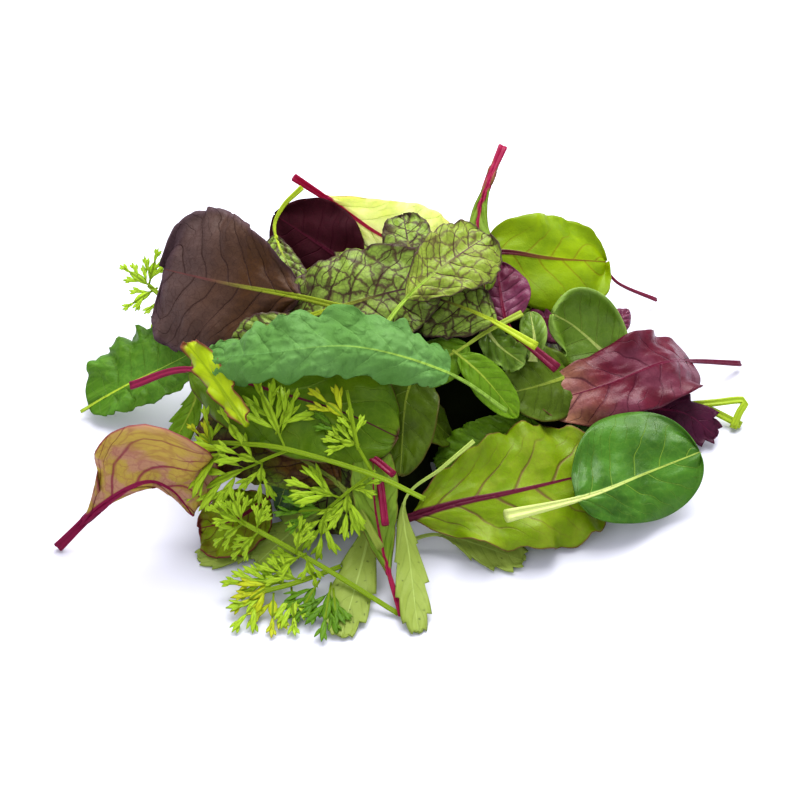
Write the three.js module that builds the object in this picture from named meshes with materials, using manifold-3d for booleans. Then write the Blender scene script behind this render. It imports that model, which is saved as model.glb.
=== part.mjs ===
// A heap of mixed baby salad leaves as it lies on a flat surface, in millimetres, +Z up.
// It stands on z = 0. The viewer stands at -Y and looks along +Y.
// Each leaf is a thin wavy solid laid along a spine from its foot to its tip. A lumpy core
// carries them, and everything is joined to one closed solid.

import * as THREE from 'three';
import { mergeVertices } from 'three/addons/utils/BufferGeometryUtils.js';
import Module from 'manifold-3d';

const wasm = await Module();
wasm.setup();

// Driving dimensions
const HEAP_CENTRE = new THREE.Vector2(5.6, -1.8);
const LEAF_THICKNESS = 0.9;
const LOBE_THICKNESS = 0.9;
const TWIG_RADIUS = 0.7;
const FLOOR_CLEARANCE = 0.4;
const LARGE_LEAF_WIDTH = 27;
const FINE_EDGE = 0.02;
const SHOOT_OVERRUN = 1.2;
const LOBE_SHARE = 0.6;
const TIE_RADIUS = 0.8;
const TIE_OVERRUN = 1.2;
const SCRAP_VOLUME = 0.5;
const SMALLEST_DETAIL = 0.3;

// Kinds of leaf: outline powers at the base and the tip, share of the stalk before the blade,
// edge ruffle as a share of the half width, number of ruffles, stalk radius, and side teeth.
const CHARD = { base: 0.55, tip: 0.4, neck: 0.22, ruffle: 0.1, waves: 4, stalk: 1.4, teeth: 0 };
const MUSTARD = { base: 0.75, tip: 0.42, neck: 0.3, ruffle: 0.06, waves: 5, stalk: 1.3, teeth: 0 };
const TATSOI = { base: 0.7, tip: 0.45, neck: 0.4, ruffle: 0, waves: 2, stalk: 2.2, teeth: 0 };
const KALE = { base: 0.5, tip: 0.45, neck: 0.25, ruffle: 0.1, waves: 7, stalk: 1.3, teeth: 0 };
const MIZUNA = { base: 0.95, tip: 0.45, neck: 0.2, ruffle: 0.03, waves: 3, stalk: 1.2, teeth: 0.22 };
const SPINACH = { base: 0.6, tip: 0.6, neck: 0.2, ruffle: 0.04, waves: 3, stalk: 1.1, teeth: 0 };
const STEM = { base: 0.5, tip: 0.5, neck: 1, ruffle: 0, waves: 0, stalk: 1.2, teeth: 0 };

// The leaves that show, each with its spine from foot to tip, its half width on either side,
// the way its upper face looks, and where it differs from its kind.
const LEAVES = [
  { name: "tatsoi_right", kind: TATSOI,
    spine: [[33, -58, 21], [59, -45, 17], [79, -32, 15], [97, -25, 18]],
    halves: [20, 16], faces: [0.05, -0.5, 0.87], neck: 0.35, curl: [-12, -35] },
  { name: "chard_front", kind: CHARD,
    spine: [[1.5, -50, 12], [18, -46, 15], [38, -41, 16], [69, -25, 16]],
    halves: [18.5, 18.5], faces: [0, -0.5, 0.85], neck: 0.03 },
  { name: "mizuna_under_chard", kind: MIZUNA,
    spine: [[1.5, -52, 4], [14, -49, 4], [39, -58, 1.5]],
    halves: [7.5, 7.5], faces: [0, -0.2, 1], neck: 0.28 },
  { name: "kale_shade", kind: KALE,
    spine: [[70, -9.5, 14], [46, -12, 19], [28, -16, 18], [12, -20, 10]],
    halves: [13, 13], faces: [0, -0.5, 0.8], neck: 0.15 },
  { name: "mizuna_front_right", kind: MIZUNA,
    spine: [[23, -40, 36], [13, -48, 32], [1.5, -52, 22], [3, -65, 9], [5.5, -88, 1]],
    halves: [5.5, 6], faces: [0.2, -0.6, 0.8], neck: 0.4 },
  { name: "mizuna_front_left", kind: MIZUNA,
    spine: [[-7, -43, 22], [-10, -55, 9], [-14, -73, 4], [-18, -90, 1]],
    halves: [7, 8], faces: [0, -0.4, 1], neck: 0.15 },
  { name: "chard_front_stem", kind: CHARD,
    spine: [[0.5, -82, 2], [-5, -64, 10], [-8, -54, 24], [-8.5, -42, 34]],
    halves: [7, 8], faces: [0.2, -0.8, 0.5], neck: 0.25, base: 0.9, tip: 0.3 },
  { name: "mustard_dark", kind: MUSTARD,
    spine: [[-6, -67, 16], [-17, -51, 25], [-35, -38, 30], [-61, -15, 30]],
    halves: [17, 17], faces: [0, -0.5, 0.85], neck: 0.3, plain: true },
  { name: "beet_stem_a", kind: STEM,
    spine: [[-14, -41, 34], [-8, -45, 33], [-2, -51, 32]],
    halves: [1.2, 1.2], faces: [0, -0.6, 0.8] },
  { name: "beet_stem_b", kind: STEM,
    spine: [[-7.5, -40, 30], [-6, -51, 27], [-4.5, -63, 22]],
    halves: [1.2, 1.2], faces: [0, -0.6, 0.8] },
  { name: "spinach_hanging", kind: SPINACH,
    spine: [[22, -9.5, 46], [9, -22, 42], [3.5, -45, 24]],
    halves: [15, 15], faces: [-0.2, -0.8, 0.5], neck: 0.1, plain: true },
  { name: "chard_middle", kind: CHARD,
    spine: [[-88, -8, 32], [-68, -9.5, 40], [-39, -28, 46], [-17, -36, 44], [-1, -38, 36]],
    halves: [19, 19], faces: [0, -0.55, 0.85], neck: 0.22, curl: [0, -20] },
  { name: "chard_middle_lip", kind: CHARD,
    spine: [[-49, -32, 38], [-59, -21, 43], [-69, -9, 50]],
    halves: [6, 6], faces: [-0.5, -0.5, 0.7], neck: 0 },
  { name: "kale_top", kind: KALE,
    spine: [[34, -23, 34], [15, -26, 52], [-14, -28, 64], [-43, -29, 62], [-61, -16, 50]],
    halves: [17, 17], faces: [0, -0.45, 0.9], neck: 0.2, fold: -32 },
  { name: "kale_left", kind: KALE,
    spine: [[-110, 13, 3], [-94, 16, 12], [-75, 18, 22], [-56, 25, 30]],
    halves: [21, 11], faces: [-0.1, -0.35, 0.95], neck: 0.2, base: 0.35, lobe: 9 },
  { name: "mustard_purple", kind: MUSTARD,
    spine: [[-17, 8.5, 50], [-33, 14, 51], [-57, 23, 50], [-82, 38, 46]],
    halves: [26, 28], faces: [0, -0.72, 0.69], neck: 0.2, tip: 0.34, curl: [-12, -12] },
  { name: "dark_back_left", kind: SPINACH,
    spine: [[-17, 41, 46], [-29, 48, 54], [-44, 58, 58]],
    halves: [15, 15], faces: [0, -0.7, 0.7], neck: 0.2, plain: true },
  { name: "green_stem_back", kind: MUSTARD,
    spine: [[-33, 51, 70], [-40, 47, 64], [-42, 40, 58], [-33, 20, 50]],
    halves: [7, 7], faces: [0.3, -0.7, 0.6], neck: 0.45 },
  { name: "chard_back", kind: CHARD,
    spine: [[-36, 57, 70], [-21, 57, 58], [-5, 50, 50], [17, 44, 44]],
    halves: [14, 10], faces: [0, -0.8, 0.6], neck: 0.12, base: 1 },
  { name: "mustard_centre", kind: MUSTARD,
    spine: [[-41, 3.5, 46], [-33, 4, 50], [-17, 8, 53], [1, 12, 56], [13, 13, 56]],
    halves: [19, 19], faces: [0, -0.5, 0.85], neck: 0.12 },
  { name: "mustard_lobe", kind: MUSTARD,
    spine: [[8, 14, 50], [4, 25, 58], [1, 46, 62]],
    halves: [8.5, 8.5], faces: [0, -0.7, 0.7], neck: 0.2 },
  { name: "mustard_top", kind: MUSTARD,
    spine: [[-8, -14, 55], [0.5, -1, 60], [13, 10, 66], [31, 30, 68]],
    halves: [14, 17], faces: [-0.1, -0.5, 0.85], neck: 0.3, base: 0.8, tip: 0.38, curl: [30, -15] },
  { name: "mustard_under", kind: MUSTARD,
    spine: [[44, -5, 46], [29, 4, 50], [15, 9.5, 53], [2.5, 13, 54]],
    halves: [14, 14], faces: [0, -0.5, 0.85], neck: 0.33, plain: true },
  { name: "stem_light", kind: SPINACH,
    spine: [[40, 10, 48], [29, 3.5, 46], [17, -4, 42], [-1.5, -10, 36]],
    halves: [8, 8], faces: [0, -0.5, 0.85], neck: 0.45 },
  { name: "chard_upright", kind: CHARD,
    spine: [[35, 64, 78], [30, 52, 72], [26, 39, 64], [28, 17, 52]],
    halves: [5, 5], faces: [0, -0.8, 0.6], neck: 0.16, base: 0.8 },
  { name: "beet_purple", kind: SPINACH,
    spine: [[51, -2, 34], [40, 5, 38], [34, 9, 44], [32, 27, 56]],
    halves: [10, 10], faces: [0, -0.7, 0.7], neck: 0.4 },
  { name: "lettuce_wavy", kind: CHARD,
    spine: [[26, 12, 46], [34, 3, 40], [43, -1.5, 34]],
    halves: [6.5, 6.5], faces: [0, -0.5, 0.85], neck: 0.1 },
  { name: "chard_right", kind: CHARD,
    spine: [[24, 40, 50], [37, 44, 48], [52, 46, 44], [72, 55, 36]],
    halves: [17, 20], faces: [0, -0.55, 0.83], neck: 0.1 },
  { name: "beet_stem_right", kind: SPINACH,
    spine: [[95, 77, 3], [80, 72, 14], [70, 72, 24], [49, 58, 34]],
    halves: [10, 10], faces: [0, -0.3, 1], neck: 0.45 },
  { name: "tatsoi_cup", kind: TATSOI,
    spine: [[82, 3, 20], [69, 15, 27], [59, 22, 33], [51, 20, 40]],
    halves: [15, 15], faces: [-0.1, -0.6, 0.8], neck: 0.22, curl: [50, 50] },
  { name: "beet_tip_back", kind: SPINACH,
    spine: [[68, 21, 26], [76, 37, 26]],
    halves: [4.5, 4.5], faces: [0, -0.6, 0.8], neck: 0.1 },
  { name: "beet_shade", kind: SPINACH,
    spine: [[63, 26, 34], [44, 23, 36]],
    halves: [9, 9], faces: [0, -0.6, 0.8], neck: 0.1 },
  { name: "spoon_pale", kind: TATSOI,
    spine: [[39, -13, 32], [43, 2, 38], [43, 15, 44]],
    halves: [5.5, 5.5], faces: [0, -0.6, 0.8], neck: 0.3 },
  { name: "spinach_mid", kind: SPINACH,
    spine: [[61, 6.5, 26], [46, -5.5, 30], [34, -10, 30]],
    halves: [13, 13], faces: [0, -0.6, 0.8], neck: 0.1 },
  { name: "spinach_bright", kind: SPINACH,
    spine: [[17, -4.5, 44], [27, -11, 38], [38, -17, 26]],
    halves: [8.5, 8.5], faces: [0.2, -0.6, 0.8], neck: 0.08 },
  { name: "beet_right", kind: SPINACH,
    spine: [[121, 40, 2.5], [104, 28, 14], [92, 12, 26], [71, -0.5, 26], [50, -7.5, 24]],
    halves: [14, 13], faces: [0, -0.5, 0.87], neck: 0.36, base: 0.3, tip: 0.45, lobe: 8 },
  { name: "mizuna_purple", kind: MIZUNA,
    spine: [[74, 1, 14], [95, 4.5, 10], [107, 0, 3]],
    halves: [8.5, 8.5], faces: [0, -0.4, 0.9], neck: 0.1 },
  { name: "beet_mauve", kind: SPINACH,
    spine: [[67, -1, 20], [42, -4.5, 22]],
    halves: [6, 6], faces: [0, -0.6, 0.8], neck: 0.1 },
  { name: "stem_bent_a", kind: STEM,
    spine: [[100, 13, 6], [108, 13, 7], [118, 13, 8], [116, 9.5, 5], [114, 6, 1.5]],
    halves: [1.3, 1.3], faces: [0, -0.6, 0.8] },
  { name: "stem_bent_b", kind: STEM,
    spine: [[103, 13, 6], [109, 11, 4], [117, 7.5, 1.5]],
    halves: [1.3, 1.3], faces: [0, -0.6, 0.8] },
  { name: "chard_arch", kind: CHARD,
    spine: [[-109, -52, 1.5], [-94, -48, 16], [-79, -48, 26], [-70, -45, 20], [-62, -44, 6]],
    halves: [22, 14], faces: [-0.1, -0.95, 0.3], neck: 0.16, base: 1.25, tip: 0.5, curl: [10, -100] },
  { name: "chard_low", kind: CHARD,
    spine: [[-40, -41, 14], [-51, -48, 10], [-63, -46, 4]],
    halves: [12, 12], faces: [0, -0.4, 0.9], neck: 0.05 },
  { name: "mizuna_low_a", kind: MIZUNA,
    spine: [[-32, -46, 8], [-49, -53, 4], [-64, -56, 1]],
    halves: [6.5, 6.5], faces: [0, -0.3, 1], neck: 0.1 },
  { name: "mizuna_low_b", kind: MIZUNA,
    spine: [[-21, -44, 12], [-32, -49, 8], [-45, -59, 1.5]],
    halves: [9, 9], faces: [0, -0.3, 1], neck: 0.1 },
  { name: "mizuna_left", kind: MIZUNA,
    spine: [[-67, 9, 24], [-70, 6, 12], [-77, -2, 1]],
    halves: [5, 5], faces: [0, -0.7, 0.7], neck: 0.1 },
  { name: "kale_under_right", kind: KALE,
    spine: [[53, -14, 14], [68, -8, 12]],
    halves: [7, 7], faces: [0, -0.5, 0.85], neck: 0.1 },
];

// Feathery sprigs: a stalk, and side shoots that each carry narrow pointed lobes.
const SPRIGS = [
  {
    name: "sprig_high",
    stalk: [[7.5, -61, 31], [-9, -53, 34], [-35, -46, 38], [-50, -40, 35], [-60, -34, 30]],
    pinnae: [
      { from: [-36, -45, 38], to: [-46, -24, 50], lobes: 5, lobe: 10 },
      { from: [-37, -40, 43], to: [-31, -29, 50], lobes: 3, lobe: 8 },
      { from: [-50, -40, 35], to: [-55, -31, 42], lobes: 2, lobe: 7 },
      { from: [-59, -35, 31], to: [-63, -26, 38], lobes: 3, lobe: 6 },
      { from: [-36, -46, 37], to: [-52, -46, 28], lobes: 4, lobe: 8 },
      { from: [-43, -47, 33], to: [-42, -55, 26], lobes: 3, lobe: 7 },
      { from: [-44, -47, 34], to: [-56, -41, 32], lobes: 3, lobe: 8 },
      { from: [-52, -46, 28], to: [-67, -45, 16], lobes: 5, lobe: 9 },
      { from: [-55, -38, 32], to: [-74, -42, 18], lobes: 5, lobe: 10 },
      { from: [-9, -54, 35], to: [-17, -30, 50], lobes: 0, lobe: 0 },
      { from: [-14, -46, 41], to: [-20, -44, 46], lobes: 4, lobe: 7 },
      { from: [-14, -45, 41], to: [-15, -39, 46], lobes: 3, lobe: 6 },
      { from: [-15, -41, 46], to: [-28, -34, 50], lobes: 4, lobe: 6 },
      { from: [-14, -46, 41], to: [-20, -52, 38], lobes: 3, lobe: 6 },
      { from: [-9, -54, 34], to: [-25, -59, 24], lobes: 0, lobe: 0 },
      { from: [-20, -58, 28], to: [-32, -55, 33], lobes: 5, lobe: 8 },
      { from: [-25, -59, 24], to: [-38, -58, 24], lobes: 4, lobe: 8 },
      { from: [-23, -58, 24], to: [-24, -67, 10], lobes: 3, lobe: 9 },
      { from: [-15, -57, 31], to: [-6.5, -58, 34], lobes: 3, lobe: 5 },
      { from: [-15, -57, 30], to: [-17, -67, 20], lobes: 4, lobe: 8 },
      { from: [-15, -57, 30], to: [-7, -62, 24], lobes: 3, lobe: 7 },
    ],
  },
  {
    name: "sprig_low",
    stalk: [[-0.5, -81, 1.5], [-23, -69, 9], [-42, -61, 16], [-50, -57, 18]],
    pinnae: [
      { from: [-50, -57, 18], to: [-61, -51, 20], lobes: 5, lobe: 7 },
      { from: [-50, -57, 18], to: [-54, -50, 26], lobes: 5, lobe: 7 },
      { from: [-43, -60, 16], to: [-47, -53, 22], lobes: 4, lobe: 5 },
      { from: [-42, -60, 16], to: [-38, -54, 24], lobes: 5, lobe: 5 },
      { from: [-44, -61, 16], to: [-52, -67, 8], lobes: 4, lobe: 6 },
      { from: [-32, -65, 12], to: [-37, -64, 8], lobes: 4, lobe: 6 },
      { from: [-31, -65, 12], to: [-29, -59, 18], lobes: 4, lobe: 5 },
    ],
  },
  {
    name: "sprig_floor",
    stalk: [[-17, -61, 5], [-29, -70, 6], [-39, -74, 5]],
    pinnae: [
      { from: [-39, -74, 5], to: [-55, -68, 3], lobes: 5, lobe: 8 },
      { from: [-39, -75, 5], to: [-51, -82, 2], lobes: 4, lobe: 8 },
      { from: [-38, -74, 5], to: [-40, -87, 2], lobes: 4, lobe: 7 },
      { from: [-33, -73, 5], to: [-31, -90, 2], lobes: 4, lobe: 7 },
      { from: [-24, -67, 5], to: [-30, -81, 2], lobes: 4, lobe: 8 },
      { from: [-22, -69, 4], to: [-22, -94, 1.5], lobes: 5, lobe: 9 },
      { from: [-19, -64, 5], to: [-20, -78, 3], lobes: 3, lobe: 7 },
      { from: [-31, -70, 6], to: [-43, -68, 7], lobes: 4, lobe: 6 },
    ],
  },
  {
    name: "sprig_left",
    stalk: [[-72, 29, 26], [-81, 38, 32], [-87, 44, 34]],
    pinnae: [
      { from: [-86, 43, 34], to: [-94, 48, 37], lobes: 4, lobe: 5 },
      { from: [-87, 45, 34], to: [-85, 50, 40], lobes: 4, lobe: 5 },
      { from: [-85, 43, 33], to: [-92, 38, 31], lobes: 3, lobe: 5 },
      { from: [-83, 41, 32], to: [-84, 32, 28], lobes: 3, lobe: 5 },
    ],
  },
];

// Leaves of the back and the inside, laid round the core by rule: the first ring lies low,
// the second leans on it.
const RINGS = [
  { count: 7, from: -14, to: 194, footReach: 0.5, footHeight: 27, tipHeight: 2.5, reach: 1 },
  { count: 4, from: 25, to: 155, footReach: 0.3, footHeight: 52, tipHeight: 20, reach: 0.9 },
];
const RING_CENTRE = new THREE.Vector2(0, 36);
const RING_RADII = new THREE.Vector2(64, 54);
const RING_KINDS = [CHARD, SPINACH, MUSTARD, KALE, TATSOI];
const RING_HALF_WIDTH = 19;
const RING_BOW = 9;

// Lumps of the core: centre, radii and height of each mound.
const MOUNDS = [
  { name: 'main', centre: [-2, 30], radii: [62, 42, 50] },
  { name: 'front', centre: [-14, -20], radii: [28, 24, 36] },
  { name: 'right', centre: [54, 4], radii: [32, 22, 23] },
];
const LUMP_DEPTH = 0.07;

/** Catmull-Rom curve through the points of a spine. */
function curveThrough(points) {
  const list = points.map((point) => new THREE.Vector3(...point));
  if (list.length === 2) list.splice(1, 0, list[0].clone().lerp(list[1], 0.5));
  return new THREE.CatmullRomCurve3(list, false, 'catmullrom', 0.5);
}

/** Point, direction, upper-face normal and right-hand side of a spine at share u of its length. */
function frameAt(curve, faces, u) {
  const tangent = curve.getTangentAt(THREE.MathUtils.clamp(u, 0.002, 0.998));
  const normal = new THREE.Vector3(...faces).normalize();
  normal.addScaledVector(tangent, -normal.dot(tangent)).normalize();
  const side = new THREE.Vector3().crossVectors(tangent, normal);
  return { point: curve.getPointAt(u), tangent, normal, side };
}

/** Half width of a blade at share s of its length, 1 at its widest. */
function outline(s, base, tip) {
  const widest = base / (base + tip);
  const top = widest ** base * (1 - widest) ** tip;
  return Math.max((s ** base * (1 - s) ** tip) / top, FINE_EDGE);
}

/** Closed solid from points and triangles, as the joining library needs it. */
function toSolid(geometry) {
  const bare = geometry.clone();
  for (const name of ['normal', 'uv']) bare.deleteAttribute(name);
  const merged = mergeVertices(bare, 1e-4);
  return new wasm.Manifold(new wasm.Mesh({
    numProp: 3,
    vertProperties: new Float32Array(merged.attributes.position.array),
    triVerts: new Uint32Array(merged.index.array),
  }));
}

/** Geometry from a list of vectors and a list of triangle corners. */
function geometryOf(points, corners) {
  const geometry = new THREE.BufferGeometry();
  geometry.setAttribute('position', new THREE.Float32BufferAttribute(points.flatMap((p) => p.toArray()), 3));
  geometry.setIndex(corners);
  return geometry;
}

/** Closed sheet over a grid of places, as thick at each as it says, with both faces split alike. */
function sheet(rows, columns, place) {
  const middle = [];
  for (let i = 0; i <= rows; i += 1) {
    for (let j = 0; j <= columns; j += 1) middle.push(place(i, (2 * j) / columns - 1));
  }
  const at = (i, j) => middle[i * (columns + 1) + j];
  const upper = [];
  const lower = [];
  for (let i = 0; i <= rows; i += 1) {
    for (let j = 0; j <= columns; j += 1) {
      const { spot, thickness } = at(i, j);
      const along = at(Math.min(i + 1, rows), j).spot.clone().sub(at(Math.max(i - 1, 0), j).spot);
      const across = at(i, Math.min(j + 1, columns)).spot.clone().sub(at(i, Math.max(j - 1, 0)).spot);
      const normal = across.cross(along).normalize();
      upper.push(spot.clone().addScaledVector(normal, thickness / 2));
      lower.push(spot.clone().addScaledVector(normal, -thickness / 2));
    }
  }
  const count = middle.length;
  const index = (i, j) => i * (columns + 1) + j;
  const corners = [];
  for (let i = 0; i < rows; i += 1) {
    for (let j = 0; j < columns; j += 1) {
      const [a, b, c, d] = [index(i, j), index(i, j + 1), index(i + 1, j + 1), index(i + 1, j)];
      corners.push(a, b, c, a, c, d);
      corners.push(count + a, count + c, count + b, count + a, count + d, count + c);
    }
  }
  const rim = [];
  for (let j = 0; j < columns; j += 1) rim.push(index(0, j));
  for (let i = 0; i < rows; i += 1) rim.push(index(i, columns));
  for (let j = columns; j > 0; j -= 1) rim.push(index(rows, j));
  for (let i = rows; i > 0; i -= 1) rim.push(index(i, 0));
  rim.forEach((from, k) => {
    const to = rim[(k + 1) % rim.length];
    corners.push(from, count + from, count + to, from, count + to, to);
  });
  return geometryOf([...upper, ...lower], corners);
}

/** Closed tapering tube along a curve, with flat ends. */
function rod(curve, faces, from, to, radiusAt, sides, steps) {
  const points = [];
  const corners = [];
  for (let i = 0; i <= steps; i += 1) {
    const u = from + ((to - from) * i) / steps;
    const { point, normal, side } = frameAt(curve, faces, u);
    for (let k = 0; k < sides; k += 1) {
      const angle = (2 * Math.PI * (k + 0.5)) / sides;
      const radius = radiusAt(u);
      points.push(point.clone()
        .addScaledVector(side, Math.cos(angle) * radius)
        .addScaledVector(normal, Math.sin(angle) * radius));
    }
  }
  const ring = (i, k) => i * sides + (k % sides);
  for (let i = 0; i < steps; i += 1) {
    for (let k = 0; k < sides; k += 1) {
      corners.push(ring(i, k), ring(i + 1, k + 1), ring(i, k + 1));
      corners.push(ring(i, k), ring(i + 1, k), ring(i + 1, k + 1));
    }
  }
  for (let k = 1; k < sides - 1; k += 1) {
    corners.push(ring(0, 0), ring(0, k), ring(0, k + 1));
    corners.push(ring(steps, 0), ring(steps, k + 1), ring(steps, k));
  }
  return geometryOf(points, corners);
}

/** One leaf as a single sheet: narrow and thick along its stalk, then wide, thin and wavy. */
function leafSolid(leaf) {
  const curve = curveThrough(leaf.spine);
  const { kind } = leaf;
  const isStem = kind === STEM;
  const neck = leaf.neck ?? kind.neck;
  const [left, right] = leaf.halves;
  const large = left + right >= LARGE_LEAF_WIDTH;
  const toothed = kind.teeth > 0;
  const bladeRows = isStem ? 0 : toothed ? 8 : large ? 6 : 4;
  const neckRows = isStem ? 5 : neck >= 0.25 ? 2 : neck > 0.06 ? 1 : 0;
  const columns = large && !leaf.plain ? 4 : 2;
  const stalk = isStem ? left : kind.stalk * (large ? 1 : 0.75);
  const fold = THREE.MathUtils.degToRad(leaf.fold ?? 0);
  return toSolid(sheet(neckRows + bladeRows, columns, (row, v) => {
    const onBlade = row >= neckRows && !isStem;
    const s = onBlade ? (1 - Math.cos((Math.PI * (row - neckRows)) / bladeRows)) / 2 : 0;
    const u = onBlade ? neck + (1 - neck) * s : (neck * row) / neckRows;
    const { point, tangent, normal, side } = frameAt(curve, leaf.faces, u);
    const half = v < 0 ? left : right;
    const radius = isStem ? stalk : stalk * (1 - 0.75 * u);
    const notch = toothed && row % 2 === 0 ? 1 - kind.teeth : 1;
    const width = onBlade ? half * notch * outline(s, leaf.base ?? kind.base, leaf.tip ?? kind.tip) : 0;
    const reach = Math.abs(v) * Math.max(width, radius);
    const bend = onBlade ? THREE.MathUtils.degToRad((leaf.curl ?? [0, 0])[v < 0 ? 0 : 1]) / half : 0;
    const folded = onBlade ? fold : 0;
    let out = Math.cos(folded) * reach;
    let up = Math.sin(folded) * reach;
    if (Math.abs(bend) > 1e-6) {
      const turned = folded + bend * reach;
      out = (Math.sin(turned) - Math.sin(folded)) / bend;
      up = (Math.cos(folded) - Math.cos(turned)) / bend;
    }
    const wave = Math.sin(2 * Math.PI * kind.waves * s + 1.7 * Math.sign(v));
    if (onBlade) up += kind.ruffle * half * v * v * wave;
    const spot = point
      .addScaledVector(side, Math.sign(v) * out)
      .addScaledVector(normal, up)
      .addScaledVector(tangent, onBlade ? -(leaf.lobe ?? 0) * v * v * (1 - s) ** 2 : 0);
    spot.z = Math.max(spot.z, FLOOR_CLEARANCE);
    const rib = 2 * radius * (1 - 0.55 * Math.abs(v));
    const thickness = onBlade && v !== 0 ? LEAF_THICKNESS : Math.max(rib, LEAF_THICKNESS);
    return { spot, thickness };
  }));
}

/** One side shoot of a sprig: a thin plate whose outline runs out to each pointed lobe in turn. */
function pinna(shoot, up) {
  const to = new THREE.Vector3(...shoot.to);
  const foot = new THREE.Vector3(...shoot.from);
  const along = to.clone().sub(foot).normalize();
  const from = foot.addScaledVector(along, -SHOOT_OVERRUN);
  const length = from.distanceTo(to);
  const lobes = Math.max(Math.round(shoot.lobes * LOBE_SHARE) - 1, 0);
  const right = [];
  const left = [];
  for (let k = 0; k < lobes; k += 1) {
    const share = 0.2 + (0.7 * k) / lobes;
    const edge = k % 2 === 0 ? right : left;
    const sign = k % 2 === 0 ? 1 : -1;
    const reach = shoot.lobe * (1 - 0.3 * share);
    edge.push([length * share, sign * TWIG_RADIUS * 0.7]);
    edge.push([length * share + reach * 0.75, sign * reach * 0.6]);
    edge.push([length * (share + 0.18), sign * TWIG_RADIUS * 0.7]);
  }
  const outlinePoints = [
    [0, TWIG_RADIUS * 0.7],
    ...right,
    [length, 0],
    ...left.reverse(),
    [0, -TWIG_RADIUS * 0.7],
  ];
  const shape = new THREE.Shape(outlinePoints.map(([x, y]) => new THREE.Vector2(x, y)));
  const plate = new THREE.ExtrudeGeometry(shape, { depth: LOBE_THICKNESS, bevelEnabled: false });
  const side = up.clone().cross(along).normalize();
  const lift = along.clone().cross(side);
  plate.translate(0, 0, -LOBE_THICKNESS / 2);
  plate.applyMatrix4(new THREE.Matrix4().makeBasis(along, side, lift).setPosition(from));
  return toSolid(plate);
}

/** One sprig: its stalk and all its side shoots. */
function sprigSolids(sprig) {
  const up = new THREE.Vector3(0, -0.45, 0.9).normalize();
  const curve = curveThrough(sprig.stalk);
  const stalk = toSolid(rod(curve, [up.x, up.y, up.z], 0, 1, () => TWIG_RADIUS, 4, 5));
  return [stalk, ...sprig.pinnae.map((shoot) => pinna(shoot, up))];
}

/** Leaves laid round the core by rule, for the back and the inside. */
function ringLeaves() {
  return RINGS.flatMap((ring, tier) => Array.from({ length: ring.count }, (_, k) => {
    const angle = THREE.MathUtils.degToRad(ring.from + ((ring.to - ring.from) * k) / (ring.count - 1));
    const out = new THREE.Vector2(Math.cos(angle), Math.sin(angle));
    const spot = (share, height) => [
      RING_CENTRE.x + out.x * RING_RADII.x * share * ring.reach,
      RING_CENTRE.y + out.y * RING_RADII.y * share * ring.reach,
      height,
    ];
    const half = (ring.footHeight + ring.tipHeight) / 2 + RING_BOW;
    return {
      name: `ring_${tier}_${k}`,
      kind: RING_KINDS[(k * 3 + tier) % RING_KINDS.length],
      spine: [spot(ring.footReach, ring.footHeight), spot(0.65, half), spot(1, ring.tipHeight)],
      halves: [RING_HALF_WIDTH, RING_HALF_WIDTH],
      faces: [out.x * 0.6, out.y * 0.6, 0.8],
      neck: 0.08,
      plain: true,
    };
  }));
}

/** One mound of the core, lumpy so that it isn't a plain dome. */
function moundSolid({ centre, radii }) {
  const geometry = new THREE.SphereGeometry(1, 9, 6).rotateX(Math.PI / 2);
  const place = geometry.attributes.position;
  for (let i = 0; i < place.count; i += 1) {
    const [x, y, z] = [place.getX(i), place.getY(i), place.getZ(i)];
    const lump = 1 + LUMP_DEPTH * Math.sin(5 * x + 1) * Math.sin(4 * y + 2) * Math.cos(3 * z);
    place.setXYZ(i, centre[0] + x * radii[0] * lump, centre[1] + y * radii[1] * lump, z * radii[2] * lump);
  }
  return toSolid(geometry);
}

/** Corner points of a solid. */
function cornersOf(solid) {
  const { vertProperties } = solid.getMesh();
  return Array.from({ length: vertProperties.length / 3 }, (_, i) => new THREE.Vector3(
    vertProperties[3 * i],
    vertProperties[3 * i + 1],
    vertProperties[3 * i + 2],
  ));
}

/** Short stalk between two solids where they lie nearest to each other. */
function tie(first, second) {
  let nearest = { gap: Infinity };
  const others = cornersOf(first);
  for (const from of cornersOf(second)) {
    for (const to of others) {
      const gap = from.distanceToSquared(to);
      if (gap < nearest.gap) nearest = { gap, from, to };
    }
  }
  const along = nearest.to.clone().sub(nearest.from).normalize();
  const side = along.clone().cross(new THREE.Vector3(0.3, 0.2, 0.93)).normalize().multiplyScalar(TIE_RADIUS);
  const lift = side.clone().cross(along);
  const start = nearest.from.clone().addScaledVector(along, -TIE_OVERRUN);
  const end = nearest.to.clone().addScaledVector(along, TIE_OVERRUN);
  const points = [start.clone().add(side), start.sub(side), end.clone().add(lift), end.sub(lift)];
  return toSolid(geometryOf(points, [0, 2, 1, 1, 3, 0, 2, 0, 3, 3, 1, 2]));
}

/** The whole heap as one closed solid that stands on z = 0. */
function heapSolid() {
  const parts = [
    ...MOUNDS.map(moundSolid),
    ...ringLeaves().map(leafSolid),
    ...LEAVES.map(leafSolid),
    ...SPRIGS.flatMap(sprigSolids),
  ];
  const joined = parts.reduce((whole, part) => whole.add(part));
  const below = toSolid(new THREE.BoxGeometry(600, 600, 200).translate(0, 0, -100));
  const [heap, ...loose] = joined.subtract(below).decompose().sort((a, b) => b.volume() - a.volume());
  return loose
    .filter((piece) => piece.volume() > SCRAP_VOLUME)
    .reduce((whole, piece) => whole.add(tie(whole, piece)).add(piece), heap)
    .simplify(SMALLEST_DETAIL)
    .decompose()
    .sort((a, b) => b.volume() - a.volume())[0];
}

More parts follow.
